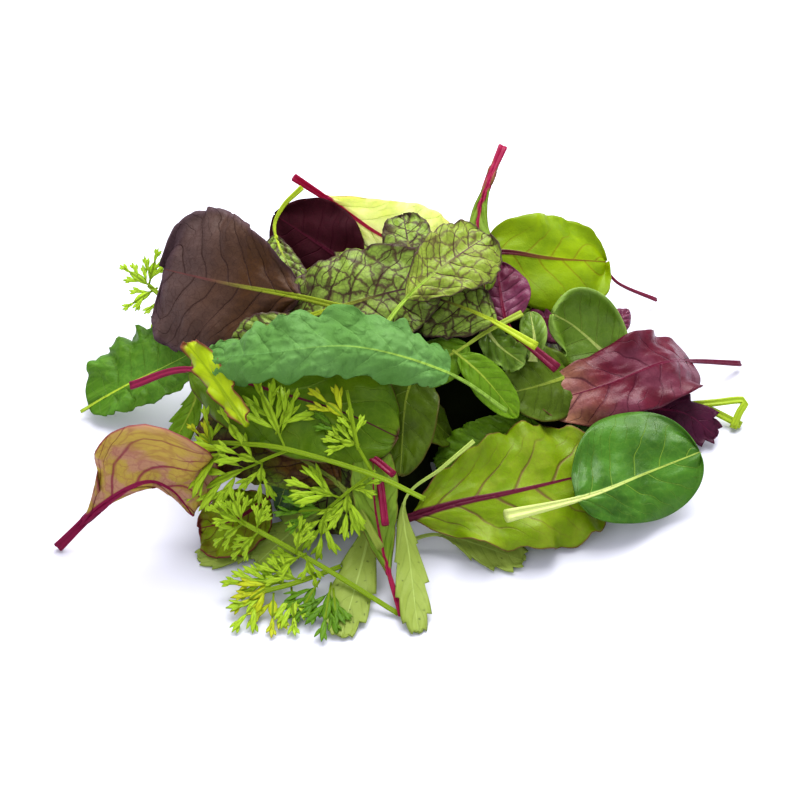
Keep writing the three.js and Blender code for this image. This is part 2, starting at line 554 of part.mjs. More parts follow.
const { vertProperties, triVerts } = heapSolid().getMesh();
const heapGeometry = new THREE.BufferGeometry();
heapGeometry.setAttribute('position', new THREE.Float32BufferAttribute(vertProperties, 3));
heapGeometry.setIndex(Array.from(triVerts));
heapGeometry.translate(-HEAP_CENTRE.x, -HEAP_CENTRE.y, 0);

const heap = new THREE.Mesh(
  heapGeometry,
  new THREE.MeshStandardMaterial({ color: 0x6f8f2e, roughness: 0.5, metalness: 0 }),
);
heap.name = 'salad_heap';

const group = new THREE.Group();
group.add(heap);

export default group;
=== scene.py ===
"""A heap of mixed baby salad leaves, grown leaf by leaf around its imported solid.

The heap stands on z = 0 and is seen from -Y. Every leaf follows the same spine as in the solid,
so that it lies where the solid's leaf lies, and adds what a solid leaves out: the fine edge, the
puckers between the veins, the groove of the midrib, and the colours. Positions are in millimetres
until a mesh is made.
"""

import logging
import math
from dataclasses import dataclass, field
from enum import Enum

import bpy
import numpy as np
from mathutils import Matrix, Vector


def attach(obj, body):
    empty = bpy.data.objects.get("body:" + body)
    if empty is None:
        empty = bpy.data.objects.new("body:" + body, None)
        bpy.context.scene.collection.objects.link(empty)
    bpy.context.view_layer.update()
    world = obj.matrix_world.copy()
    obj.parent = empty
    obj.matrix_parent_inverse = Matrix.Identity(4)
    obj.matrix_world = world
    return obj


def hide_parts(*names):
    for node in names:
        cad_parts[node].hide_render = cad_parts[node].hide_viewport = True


logger = logging.getLogger("salad_heap")

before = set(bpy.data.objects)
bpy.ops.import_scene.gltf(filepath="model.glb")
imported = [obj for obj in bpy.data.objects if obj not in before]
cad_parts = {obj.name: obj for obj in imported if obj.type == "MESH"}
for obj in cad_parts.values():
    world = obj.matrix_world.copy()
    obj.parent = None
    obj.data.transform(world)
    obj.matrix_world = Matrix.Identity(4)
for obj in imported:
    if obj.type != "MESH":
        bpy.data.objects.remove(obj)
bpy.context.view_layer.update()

Point = tuple[float, float, float]
Rgba = tuple[float, float, float, float]
Sockets = dict[str, bpy.types.NodeSocket]

MM = 0.001
# Where the middle of the solid's box lies in the leaves' own millimetres.
HEAP_CENTRE = np.array([5.6, -1.8, 0.0])
HEAP_NODE = "salad_heap"
# Nothing lies lower than this, in millimetres.
FLOOR_CLEARANCE = 0.12
# Thickness of a leaf and of a sprig's finger.
LEAF_MM = 0.42
LOBE_MM = 0.2
# A leaf that is narrower takes the small share of its kind's steps, and one that lies under
# others may take the hidden one.
LARGE_LEAF_WIDTH = 20.0
SMALL_LEAF_DETAIL = 0.6
HIDDEN_LEAF_DETAIL = 0.55
# Draws for the teeth of one edge.
MOST_TEETH = 64
# Distance between two blisters along a side vein.
BLISTER_MM = 4.2
# A bend below this, in radians a millimetre, counts as none.
NEARLY_FLAT = 1e-6
# What the meshes tell the finishes: three maps of three numbers a point.
MAPS = {
    "vein_map": ("phase", "across", "along"),
    "leaf_place": ("span", "share", "chance"),
    "leaf_part": ("under", "rib", "edge"),
}


def linear(hex_colour: str) -> Rgba:
    """Turns an sRGB hex colour into the linear numbers that a shader takes.

    Args:
        hex_colour: Six hex digits, such as "7aa32b".

    Returns:
        Red, green, blue and alpha, each from 0 to 1.
    """
    parts = [int(hex_colour[i:i + 2], 16) / 255 for i in (0, 2, 4)]
    lin = [c / 12.92 if c <= 0.04045 else ((c + 0.055) / 1.055) ** 2.4 for c in parts]
    return (lin[0], lin[1], lin[2], 1.0)


def smooth(low: float, high: float, value: np.ndarray) -> np.ndarray:
    """Smooth step from 0 at low to 1 at high.

    Args:
        low: Where the step starts.
        high: Where it ends.
        value: The numbers to step.

    Returns:
        Numbers from 0 to 1, shaped like value.
    """
    t = np.clip((value - low) / (high - low), 0.0, 1.0)
    return t * t * (3.0 - 2.0 * t)


class Kind(Enum):
    """Botanical kind of a leaf, which sets its form."""

    CHARD = "chard"
    MUSTARD = "mustard"
    TATSOI = "tatsoi"
    KALE = "kale"
    MIZUNA = "mizuna"
    SPINACH = "spinach"
    STEM = "stem"
    LOBE = "lobe"


class Look(Enum):
    """Finish of a leaf, one for each colouring that the heap shows."""

    CHARD = "chard_blade"
    CHARD_DEEP = "chard_blade_deep"
    CHARD_RED_EDGE = "chard_blade_red_edge"
    CHARD_LIME = "chard_blade_lime"
    CHARD_LIP = "chard_blade_lip"
    CHARD_PAINTED_BACKLIGHT = "chard_blade_painted_backlight"
    CHARD_MOTTLED = "chard_blade_mottled"
    CHARD_NARROW = "chard_stalk_channelled"
    MUSTARD_GREEN = "mustard_blade_green"
    MUSTARD_BRIGHT = "mustard_blade_bright"
    MUSTARD_PURPLE = "mustard_blade_purple"
    MUSTARD_DARK = "mustard_blade_dark"
    TATSOI_DEEP = "tatsoi_blade_deep"
    TATSOI_PALE = "tatsoi_blade_pale"
    KALE_BLUE = "kale_blade_blue"
    KALE_GREEN = "kale_blade_green"
    MIZUNA = "mizuna_blade"
    MIZUNA_PURPLE = "mizuna_blade_purple"
    SPINACH = "spinach_blade"
    OLIVE = "spinach_blade_olive"
    BEET = "beet_blade"
    BURGUNDY = "beet_blade_burgundy"
    BEET_MAROON = "beet_blade_maroon"
    CRIMSON_STEM = "beet_stem_crimson"
    LIME_STEM = "lime_stem"
    SPRIG = "sprig_lobe"
    SPRIG_YELLOW = "sprig_lobe_yellow"
    SPRIG_SHADE = "sprig_lobe_shade"


@dataclass(frozen=True)
class Form:
    """Shape of a kind of leaf.

    Attributes:
        base: Power of the outline at the foot of the blade; small is round, large is tapered.
        tip: Power of the outline at the tip.
        neck: Share of the length that is bare stalk.
        ruffle: Height of the edge waves as a share of the half width.
        waves: Number of edge waves.
        stalk: Radius of the stalk at its foot, in millimetres.
        veins: Number of side veins on each side.
        sweep: Share of the length by which a side vein runs forward to the edge.
        pucker: Height of the blisters between the veins, in millimetres.
        teeth: Number of teeth on each edge.
        tooth: Depth of a tooth as a share of the half width.
        tooth_root: Power of the share across at which teeth begin; small is deeply cut.
        lean: How far a tooth leans forward, in millimetres.
        scalloped: True for rounded teeth.
        taper: Power by which the rib thins towards the tip.
        rows: Steps along the blade of a large leaf.
        columns: Steps across it.
    """

    base: float
    tip: float
    neck: float
    ruffle: float = 0.0
    waves: float = 3.0
    stalk: float = 1.2
    veins: float = 6.0
    sweep: float = 0.24
    pucker: float = 0.4
    teeth: int = 0
    tooth: float = 0.0
    tooth_root: float = 6.0
    lean: float = 0.0
    scalloped: bool = False
    taper: float = 1.0
    rows: int = 72
    columns: int = 44


FORMS = {
    Kind.CHARD: Form(0.55, 0.4, 0.22, 0.1, 4, 1.4, veins=5, sweep=0.36, pucker=0.75,
                     teeth=11, tooth=0.045, lean=0.3, scalloped=True, taper=1.3),
    Kind.MUSTARD: Form(0.75, 0.42, 0.3, 0.06, 5, 1.3, veins=6, sweep=0.28, pucker=0.8,
                       teeth=14, tooth=0.06, tooth_root=5, lean=0.3, scalloped=True, taper=1.2, rows=80),
    Kind.TATSOI: Form(0.7, 0.45, 0.4, 0.0, 2, 2.2, veins=5, sweep=0.34, pucker=0.3, taper=2.2),
    Kind.KALE: Form(0.5, 0.45, 0.25, 0.1, 7, 1.3, veins=9, sweep=0.16, pucker=0.8,
                    teeth=14, tooth=0.13, tooth_root=5, lean=0.9, scalloped=True, taper=1.6, rows=100),
    Kind.MIZUNA: Form(0.95, 0.45, 0.2, 0.03, 3, 1.0, veins=6, sweep=0.3, pucker=0.3,
                      teeth=6, tooth=0.24, tooth_root=3.0, lean=1.4, taper=1.2, columns=24),
    Kind.SPINACH: Form(0.6, 0.6, 0.2, 0.04, 3, 1.1, veins=6, sweep=0.22, pucker=0.6, taper=1.3),
    Kind.STEM: Form(0.5, 0.5, 1.0, stalk=1.2, rows=2, columns=20),
    Kind.LOBE: Form(1.0, 0.9, 0.12, 0.12, 1, 0.14, veins=2, sweep=0.3, pucker=0.05,
                    rows=7, columns=4),
}


@dataclass(frozen=True)
class Leaf:
    """One leaf or bare stem as it lies in the heap.

    Attributes:
        name: What it is and where it lies.
        kind: Botanical kind.
        look: Finish.
        spine: Points from its foot to its tip, in millimetres.
        halves: Half width on the left and the right of the spine.
        faces: The way its upper face looks.
        neck: Share of bare stalk, where it differs from its kind.
        base: Outline power at the foot, where it differs.
        tip: Outline power at the tip, where it differs.
        curl: Degrees that the left and the right edge turn up.
        lobe: Millimetres that the foot of the blade sweeps back.
        stalk: Radius of the stalk, where it differs.
        tooth: Depth of the teeth, where it differs.
        ruffle: Height of the edge waves, where it differs.
        waves: Number of edge waves, where it differs.
        pucker: Height of the blisters, where it differs.
        detail: Share of its kind's steps; a leaf that is mostly hidden takes fewer.
    """

    name: str
    kind: Kind
    look: Look
    spine: tuple[Point, ...]
    halves: tuple[float, float] = (8.0, 8.0)
    faces: Point = (0.0, -0.6, 0.8)
    neck: float | None = None
    base: float | None = None
    tip: float | None = None
    curl: tuple[float, float] = (0.0, 0.0)
    lobe: float = 0.0
    stalk: float | None = None
    tooth: float | None = None
    ruffle: float | None = None
    waves: float | None = None
    pucker: float | None = None
    detail: float = 1.0

    def own(self, name: str) -> float:
        """Finds one measure of the leaf.

        Args:
            name: Name of the measure, such as "ruffle".

        Returns:
            The leaf's own value, or its kind's where it has none.
        """
        value = getattr(self, name)
        return getattr(FORMS[self.kind], name) if value is None else value


@dataclass(frozen=True)
class Shoot:
    """One side shoot of a sprig.

    Attributes:
        foot: Where it starts, in millimetres.
        tip: Where it ends.
        lobes: Number of its fingers; a bare twig has none.
        lobe: Size of its fingers, in millimetres; they are 1.5 times as long near its foot and
            1.3 times at its tip.
        look: Finish of its blade and fingers.
    """

    foot: Point
    tip: Point
    lobes: int
    lobe: float
    look: Look = Look.SPRIG


@dataclass(frozen=True)
class Sprig:
    """A feathery sprig.

    Attributes:
        name: Where it lies.
        stalk: Points of its stalk, in millimetres.
        shoots: Its side shoots.
    """

    name: str
    stalk: tuple[Point, ...]
    shoots: tuple[Shoot, ...]


LEAVES = (
    Leaf("tatsoi_right", Kind.TATSOI, Look.TATSOI_DEEP,
         ((33, -58, 21), (59, -45, 17), (79, -32, 15), (97, -25, 18)),
         halves=(23, 15.5), faces=(0.05, -0.5, 0.87), neck=0.35, curl=(-12, -35), base=0.62,
         pucker=0.6),
    Leaf("chard_front", Kind.CHARD, Look.CHARD,
         ((1.5, -50, 12), (18, -46, 15), (38, -41, 16), (67, -27, 12)),
         halves=(22.5, 22), faces=(0, -0.5, 0.85), neck=0.03, base=0.8, tooth=0.12, ruffle=0.11,
         waves=3.7, pucker=0.6),
    Leaf("mizuna_under_chard", Kind.MIZUNA, Look.MIZUNA,
         ((1.5, -52, 4), (14, -49, 4), (39, -58, 1.5)),
         halves=(7.5, 7.5), faces=(0, -0.2, 1), neck=0.28),
    Leaf("kale_shade", Kind.KALE, Look.SPINACH,
         ((53.5, -11.5, 15), (39.5, -14.5, 18), (25.5, -20.5, 17), (12.0, -24.0, 11)),
         halves=(8.5, 8.5), faces=(0, -0.5, 0.8), neck=0.15),
    Leaf("mizuna_front_right", Kind.MIZUNA, Look.MIZUNA,
         ((23, -40, 36), (13, -48, 32), (1.5, -52, 22), (3, -65, 9), (5.5, -88, 1)),
         halves=(5.5, 6), faces=(0.2, -0.6, 0.8), neck=0.4),
    Leaf("mizuna_front_left", Kind.MIZUNA, Look.MIZUNA,
         ((-7, -43, 22), (-10, -55, 9), (-14, -73, 4), (-18, -90, 1)),
         halves=(7, 8), faces=(0, -0.4, 1), neck=0.15),
    Leaf("chard_front_stem", Kind.CHARD, Look.CHARD_NARROW,
         ((0.5, -82, 2), (-5, -64, 10), (-8, -54, 24), (-8.5, -42, 34)),
         halves=(7, 8), faces=(0.2, -0.8, 0.5), neck=0.25, base=0.9, tip=0.3),
    Leaf("mustard_dark", Kind.MUSTARD, Look.MUSTARD_DARK,
         ((-6, -67, 16), (-17, -51, 25), (-35, -38, 30), (-61, -15, 30)),
         halves=(17, 17), faces=(0, -0.5, 0.85), neck=0.3),
    Leaf("beet_stem_a", Kind.STEM, Look.CRIMSON_STEM,
         ((-14, -41, 34), (-8, -45, 33), (-2, -51, 32)),
         halves=(1.2, 1.2), faces=(0, -0.6, 0.8)),
    Leaf("beet_stem_b", Kind.STEM, Look.CRIMSON_STEM,
         ((-7.5, -40, 30), (-6, -51, 27), (-4.5, -63, 22)),
         halves=(1.2, 1.2), faces=(0, -0.6, 0.8)),
    Leaf("spinach_hanging", Kind.SPINACH, Look.OLIVE,
         ((14, -9.5, 46), (3, -22, 43), (0, -45, 26)),
         halves=(11, 13), faces=(-0.2, -0.8, 0.5), neck=0.1),
    Leaf("chard_middle", Kind.CHARD, Look.CHARD_DEEP,
         ((-88, -8, 32), (-68, -9.5, 40), (-39, -28, 46), (-17, -36, 44), (-1, -38, 36)),
         halves=(19, 19), faces=(0, -0.55, 0.85), neck=0.22, curl=(0, -20)),
    Leaf("chard_middle_lip", Kind.CHARD, Look.CHARD_LIP,
         ((-47, -45, 47), (-53.5, -33.5, 48.5), (-61, -20.5, 50), (-68, -9, 50.5)),
         halves=(4.5, 5), faces=(-0.5, -0.5, 0.7), neck=0, ruffle=0.4, waves=3.5, pucker=0.2),
    Leaf("kale_top", Kind.KALE, Look.KALE_BLUE,
         ((34, -23, 34), (15, -26, 52), (-14, -28, 64), (-43, -29, 62), (-61, -16, 50)),
         halves=(11, 15.5), faces=(0, -0.45, 0.9), neck=0.23, stalk=0.75, tooth=0.32, ruffle=0.16,
         waves=5, pucker=0.8, base=0.32, tip=0.38, curl=(-75, -28)),
    Leaf("kale_left", Kind.KALE, Look.KALE_GREEN,
         ((-110, 13, 3), (-94, 16, 12), (-75, 18, 22), (-56, 25, 30)),
         halves=(21, 11), faces=(-0.1, -0.35, 0.95), neck=0.2, base=0.35, lobe=9, stalk=0.6,
         pucker=1.1),
    Leaf("mustard_purple", Kind.MUSTARD, Look.MUSTARD_PURPLE,
         ((-17, 0.7, 56.7), (-33, 10, 54.6), (-57, 22, 51), (-80, 37, 46)),
         halves=(26, 25), faces=(0, -0.72, 0.69), neck=0.24, tip=0.24, curl=(-4, -6), base=0.75,
         tooth=0.03),
    Leaf("crown_right", Kind.SPINACH, Look.OLIVE,
         ((2, 26, 50), (22, 30, 48), (44, 30, 34)),
         halves=(14, 15), faces=(0.4, 0, 0.9), neck=0.03, detail=HIDDEN_LEAF_DETAIL),
    Leaf("front_under", Kind.SPINACH, Look.OLIVE,
         ((-10, -20, 36), (5, -18, 31), (17, -15, 15)),
         halves=(11, 11), faces=(0.7, -0.1, 0.7), neck=0.03, detail=HIDDEN_LEAF_DETAIL),
    Leaf("crown_under", Kind.MUSTARD, Look.MUSTARD_GREEN,
         ((-8, 20, 48), (-9, 33, 51), (-5, 50, 47)),
         halves=(15, 15), faces=(0, -0.3, 0.95), neck=0.05),
    Leaf("dark_back_left", Kind.SPINACH, Look.BURGUNDY,
         ((-14, 38, 44), (-27, 44, 51), (-43, 55, 56)),
         halves=(14, 15), faces=(0, -0.7, 0.7), neck=0.0, pucker=0.25),
    Leaf("green_stem_back", Kind.MUSTARD, Look.MUSTARD_GREEN,
         ((-33, 51, 70), (-40, 47, 64), (-42, 40, 58), (-33, 20, 50)),
         halves=(5, 10), faces=(0.3, -0.7, 0.6), neck=0.45),
    Leaf("chard_back", Kind.CHARD, Look.CHARD_PAINTED_BACKLIGHT,
         ((-36, 57, 70), (-21, 57, 58), (-5, 50, 50), (17, 44, 44)),
         halves=(15.5, 10), faces=(0, -0.8, 0.6), neck=0.2, base=1, stalk=1.4),
    Leaf("mustard_centre", Kind.MUSTARD, Look.MUSTARD_GREEN,
         ((-41, 6.5, 43.4), (-33, 6.3, 48.1), (-17, 8, 53), (1, 12, 56), (13, 13, 56)),
         halves=(19, 19), faces=(0, -0.5, 0.85), neck=0.08, base=0.45),
    Leaf("mustard_low", Kind.MUSTARD, Look.MUSTARD_GREEN,
         ((-27.5, 4.5, 50), (-41.5, -0.5, 48), (-54.5, -1.0, 43)),
         halves=(7, 8), faces=(0, -0.5, 0.85), neck=0.03),
    Leaf("mustard_lobe", Kind.MUSTARD, Look.MUSTARD_GREEN,
         ((8, 14, 50), (4, 25, 58), (1, 46, 62)),
         halves=(8.5, 8.5), faces=(0, -0.7, 0.7), neck=0.2),
    Leaf("mustard_top", Kind.MUSTARD, Look.MUSTARD_BRIGHT,
         ((-8, -14, 55), (0.5, -1, 60), (13, 10, 66), (29, 27, 67)),
         halves=(12, 13.5), faces=(-0.1, -0.5, 0.85), neck=0.32, base=0.8, tip=0.42, curl=(30, -15)),
    Leaf("mustard_under", Kind.MUSTARD, Look.MUSTARD_GREEN,
         ((44, -5, 46), (29, 4, 50), (15, 9.5, 53), (2.5, 13, 54)),
         halves=(14, 14), faces=(0, -0.5, 0.85), neck=0.33, stalk=1.5),
    Leaf("stem_light", Kind.SPINACH, Look.SPINACH,
         ((40, 10, 48), (29, 3.5, 46), (17, -4, 42), (-1.5, -10, 36)),
         halves=(8, 8), faces=(0, -0.5, 0.85), neck=0.45, stalk=1.15),
    Leaf("chard_upright", Kind.CHARD, Look.CHARD_NARROW,
         ((35, 64, 78), (30, 52, 72), (26, 39, 64), (28, 17, 52)),
         halves=(5, 4), faces=(0, -0.8, 0.6), neck=0.13, base=1.4, stalk=1.6),
    Leaf("beet_purple", Kind.SPINACH, Look.BEET,
         ((51, -6.5, 38), (42, 1, 42), (35, 7, 46), (32, 27, 56)),
         halves=(10, 10), faces=(0, -0.7, 0.7), neck=0.5, stalk=1.8),
    Leaf("lettuce_wavy", Kind.CHARD, Look.TATSOI_PALE,
         ((27.0, 11.5, 43), (32.0, 2.0, 41), (40.5, -2.0, 36)),
         halves=(6, 6), faces=(0, -0.5, 0.85), neck=0.1, ruffle=0.3, waves=3),
    Leaf("chard_right", Kind.CHARD, Look.CHARD_LIME,
         ((24, 40, 50), (37, 44, 48), (52, 46, 44), (72, 55, 36)),
         halves=(17, 20), faces=(0, -0.55, 0.83), neck=0.1, pucker=0.2, ruffle=0.03, tooth=0.015,
         tip=0.42),
    Leaf("beet_stem_right", Kind.SPINACH, Look.BEET,
         ((95, 77, 3), (80, 72, 14), (70, 72, 24), (49, 58, 34)),
         halves=(5, 5), faces=(0, -0.3, 1), neck=0.6),
    Leaf("tatsoi_cup", Kind.TATSOI, Look.TATSOI_PALE,
         ((82, 3, 20), (69, 15, 27), (59, 22, 33), (51, 20, 40)),
         halves=(15, 15), faces=(-0.1, -0.6, 0.8), neck=0.22, curl=(50, 50)),
    Leaf("beet_tip_back", Kind.SPINACH, Look.BEET,
         ((68, 22, 27), (79, 38, 28)),
         halves=(4.5, 4.5), faces=(0, -0.6, 0.8), neck=0.1),
    Leaf("beet_shade", Kind.SPINACH, Look.BEET,
         ((63, 29, 30), (44, 27, 33)),
         halves=(9, 9), faces=(0, -0.6, 0.8), neck=0.1),
    Leaf("spoon_pale", Kind.TATSOI, Look.TATSOI_PALE,
         ((43.5, -0.5, 36), (44.0, 4.5, 42), (43.0, 13.0, 46)),
         halves=(4.5, 4.5), faces=(0, -0.6, 0.8), neck=0.03),
    Leaf("spinach_mid", Kind.SPINACH, Look.OLIVE,
         ((61, 6.5, 26), (46, -5.5, 30), (34, -10, 30)),
         halves=(13, 17), faces=(0, -0.6, 0.8), neck=0.1),
    Leaf("spinach_bright", Kind.SPINACH, Look.SPINACH,
         ((17, -4.5, 44), (27, -11, 38), (38, -17, 26)),
         halves=(6.5, 6), faces=(0.2, -0.6, 0.8), neck=0.08, stalk=0.5),
    Leaf("beet_right", Kind.SPINACH, Look.BEET_MAROON,
         ((121, 40, 2.5), (102, 27, 14), (88, 11, 26), (67, -1, 26), (45, -8.5, 24)),
         halves=(14, 13), faces=(0, -0.5, 0.87), neck=0.36, base=0.3, tip=0.45, lobe=8, ruffle=0.13,
         waves=2.6),
    Leaf("mizuna_purple", Kind.MIZUNA, Look.MIZUNA_PURPLE,
         ((74, 1, 14), (95, 4.5, 10), (107, 0, 3)),
         halves=(8.5, 8.5), faces=(0, -0.4, 0.9), neck=0.1, tooth=0.45),
    Leaf("beet_mauve", Kind.SPINACH, Look.BEET,
         ((57.5, 4.0, 20), (49.5, -2.5, 23), (42.0, -10.5, 24)),
         halves=(5, 5), faces=(0, -0.6, 0.8), neck=0.1),
    Leaf("stem_bent_a", Kind.STEM, Look.LIME_STEM,
         ((100, 13, 6), (108, 13, 7), (118, 13, 8), (116, 9.5, 5), (114, 6, 1.5)),
         halves=(1.3, 1.3), faces=(0, -0.6, 0.8)),
    Leaf("stem_bent_b", Kind.STEM, Look.LIME_STEM,
         ((103, 13, 6), (109, 11, 4), (117, 7.5, 1.5)),
         halves=(1.3, 1.3), faces=(0, -0.6, 0.8)),
    Leaf("chard_arch", Kind.CHARD, Look.CHARD_MOTTLED,
         ((-109, -52, 1.5), (-94, -48, 16), (-80, -48, 26), (-72, -45, 20), (-66, -44, 8)),
         halves=(20, 4), faces=(-0.1, -0.95, 0.3), neck=0.16, base=1.25, tip=0.9, curl=(10, -60),
         lobe=-12, stalk=1.7),
    Leaf("chard_low", Kind.CHARD, Look.CHARD_RED_EDGE,
         ((-41, -41, 14), (-52, -48, 10), (-64, -46, 4)),
         halves=(12, 11), faces=(0, -0.4, 0.9), neck=0.05),
    Leaf("mizuna_low_a", Kind.MIZUNA, Look.MIZUNA,
         ((-32, -46, 8), (-49, -53, 4), (-64, -56, 1)),
         halves=(6.5, 6.5), faces=(0, -0.3, 1), neck=0.1),
    Leaf("mizuna_low_b", Kind.MIZUNA, Look.MIZUNA,
         ((-21, -44, 12), (-32, -49, 8), (-45, -59, 1.5)),
         halves=(9, 9), faces=(0, -0.3, 1), neck=0.1),
    Leaf("mizuna_left", Kind.MIZUNA, Look.SPINACH,
         ((-67, 9, 24), (-70, 6, 12), (-77, -2, 1)),
         halves=(5, 5), faces=(0, -0.7, 0.7), neck=0.1),
    Leaf("kale_under_right", Kind.KALE, Look.KALE_BLUE,
         ((53, -14, 14), (68, -8, 12)),
         halves=(7, 7), faces=(0, -0.5, 0.85), neck=0.1),
)

SPRIGS = (
    Sprig("sprig_high",
          ((7.5, -61, 31), (-9, -53, 34), (-35, -46, 38), (-50, -40, 35), (-60, -34, 30)),
          (
              Shoot((-35.5, -45.5, 38), (-43.5, -29.5, 47), 6, 9),
              Shoot((-38.0, -41.0, 41), (-33.5, -32.5, 45), 3, 8),
              Shoot((-50.0, -38.5, 34), (-53.5, -34.0, 38), 1, 6),
              Shoot((-59.5, -34.5, 30), (-61.0, -29.5, 34), 2, 6),
              Shoot((-59.5, -34.5, 30), (-63.5, -32.0, 32), 2, 5, Look.SPRIG_YELLOW),
              Shoot((-50.5, -40.0, 34), (-66.5, -41.0, 24), 4, 11),
              Shoot((-35.5, -46.0, 37), (-45.0, -45.0, 31), 0, 0),
              Shoot((-44.5, -45.0, 31), (-62.0, -44.5, 20), 5, 10),
              Shoot((-44.0, -45.5, 32), (-50.5, -43.0, 33), 3, 8),
              Shoot((-43.0, -45.5, 31), (-43.5, -48.0, 26), 3, 7),
              Shoot((-8.5, -51.5, 33), (-13.5, -46.0, 40), 0, 0),
              Shoot((-13.0, -47.0, 40), (-16.5, -32.0, 50), 0, 0),
              Shoot((-13.5, -46.0, 40), (-18.0, -45.0, 40), 4, 6),
              Shoot((-14.0, -45.0, 41), (-15.0, -41.0, 44), 3, 5),
              Shoot((-16.5, -40.0, 45), (-23.0, -35.5, 48), 3, 7, Look.SPRIG_YELLOW),
              Shoot((-16.5, -42.0, 40), (-21.5, -39.0, 42), 3, 6, Look.SPRIG_SHADE),
              Shoot((-8.5, -51.5, 33), (-22.5, -56.0, 22), 0, 0),
              Shoot((-19.0, -55.0, 26), (-28.0, -54.0, 29), 5, 8),
              Shoot((-23.0, -56.5, 22), (-31.5, -56.0, 21), 4, 8, Look.SPRIG_SHADE),
              Shoot((-23.0, -57.5, 22), (-24.5, -60.5, 15), 4, 8),
              Shoot((-16.0, -53.5, 27), (-16.5, -57.5, 22), 5, 8),
              Shoot((-15.0, -53.5, 28), (-10.5, -52.5, 29), 2, 5),
          )),
    Sprig("sprig_low",
          ((-0.5, -81, 1.5), (-23, -69, 9), (-42, -61, 16), (-50, -57, 18)),
          (
              Shoot((-49.0, -58.0, 18), (-56.0, -56.5, 21), 4, 5),
              Shoot((-49.0, -57.5, 18), (-51.5, -55.0, 25), 4, 5),
              Shoot((-44.5, -59.5, 17), (-42.5, -56.5, 23), 4, 4),
              Shoot((-32.0, -65.0, 13), (-31.0, -61.5, 18), 4, 5),
              Shoot((-44.5, -61.0, 16), (-49.5, -62.0, 10), 4, 5),
              Shoot((-49.5, -58.0, 17), (-55.0, -58.5, 12), 3, 5),
              Shoot((-30.0, -66.0, 12), (-39.0, -67.5, 7), 5, 6),
              Shoot((-29.0, -67.0, 11), (-27.0, -70.0, 7), 3, 4),
          )),
    Sprig("sprig_floor",
          ((-18.5, -65.0, 6), (-32.0, -72.0, 6), (-42.5, -75.0, 5)),
          (
              Shoot((-34.0, -71.5, 5), (-50.0, -72.0, 6), 6, 7),
              Shoot((-38.5, -72.0, 6), (-46.5, -77.5, 4), 4, 7, Look.SPRIG_YELLOW),
              Shoot((-42.5, -76.0, 4), (-47.0, -82.5, 2.5), 3, 7),
              Shoot((-39.0, -76.0, 4), (-39.0, -83.5, 2.5), 3, 7, Look.SPRIG_YELLOW),
              Shoot((-33.5, -73.5, 4), (-32.5, -83.5, 2.5), 4, 7),
              Shoot((-25.5, -71.5, 5), (-29.5, -79.0, 3), 4, 7, Look.SPRIG_SHADE),
              Shoot((-21.5, -71.5, 4), (-23.0, -85.5, 2.5), 5, 8, Look.SPRIG_SHADE),
              Shoot((-20.5, -74.0, 4), (-19.5, -83.5, 2.5), 3, 6, Look.SPRIG_SHADE),
              Shoot((-31.5, -71.0, 6), (-38.5, -69.5, 8), 4, 6),
          )),
    Sprig("sprig_left",
          ((-72, 29, 26), (-81, 38, 32), (-87, 44, 34)),
          (
              Shoot((-86, 43, 34), (-94, 48, 37), 4, 5),
              Shoot((-87, 45, 34), (-85, 50, 40), 4, 5),
              Shoot((-85, 43, 33), (-92, 38, 31), 3, 5),
              Shoot((-83, 41, 32), (-84, 32, 28), 3, 5),
          )),
)


@dataclass(frozen=True)
class Ring:
    """One ring of leaves round the core.

    Attributes:
        count: Number of its leaves.
        start: Angle of the first one, in degrees.
        end: Angle of the last one.
        foot_reach: Share of the radii at which the leaves start.
        foot_height: Height of their feet, in millimetres.
        tip_height: Height of their tips.
        reach: Share of the radii at which they end.
        centre: Middle of the ring, in millimetres.
        radii: Its radii along x and y.
        half_width: Half width of a leaf.
        bow: How far the leaves arch above a straight line.
    """

    count: int
    start: float
    end: float
    foot_reach: float
    foot_height: float
    tip_height: float
    reach: float
    centre: tuple[float, float] = (0.0, 36.0)
    radii: tuple[float, float] = (64.0, 54.0)
    half_width: float = 19.0
    bow: float = 9.0


RINGS = (
    Ring(7, -14, 194, 0.5, 27, 2.5, 1.0),
    Ring(4, 25, 155, 0.3, 45, 20, 0.9),
    Ring(6, 2, 176, 0.45, 40, 10, 0.96),
    Ring(4, 184, 238, 0.4, 44, 3, 0.99, bow=18),
    Ring(4, -22, 75, 0.3, 19, 2, 1.0, (54, 4), (33, 23), 12, 7),
    Ring(5, 105, 250, 0.3, 31, 2, 1.0, (-14, -20), (31, 27), 12, 10),
)
RING_KINDS = (
    (Kind.CHARD, Look.CHARD),
    (Kind.SPINACH, Look.BEET),
    (Kind.MUSTARD, Look.MUSTARD_GREEN),
    (Kind.KALE, Look.KALE_GREEN),
    (Kind.TATSOI, Look.TATSOI_DEEP),
)


@dataclass(frozen=True)
class Mound:
    """One mound of the core, in millimetres.

    Attributes:
        centre: Its middle on the floor.
        radii: Its radii along x and y, and its height.
    """

    centre: tuple[float, float]
    radii: Point


MOUNDS = (
    Mound((-2, 30), (57, 38, 46)),
    Mound((-14, -20), (25, 21, 32)),
    Mound((54, 4), (28, 19, 19)),
)


@dataclass(frozen=True)
class Group:
    """One piece of the heap.

    Attributes:
        name: Name of the piece.
        slot: What it is made of; not used.
        kind: The kind of placed leaf that it collects; none where its leaves are laid by rule.
    """

    name: str
    slot: str
    kind: Kind | None = None


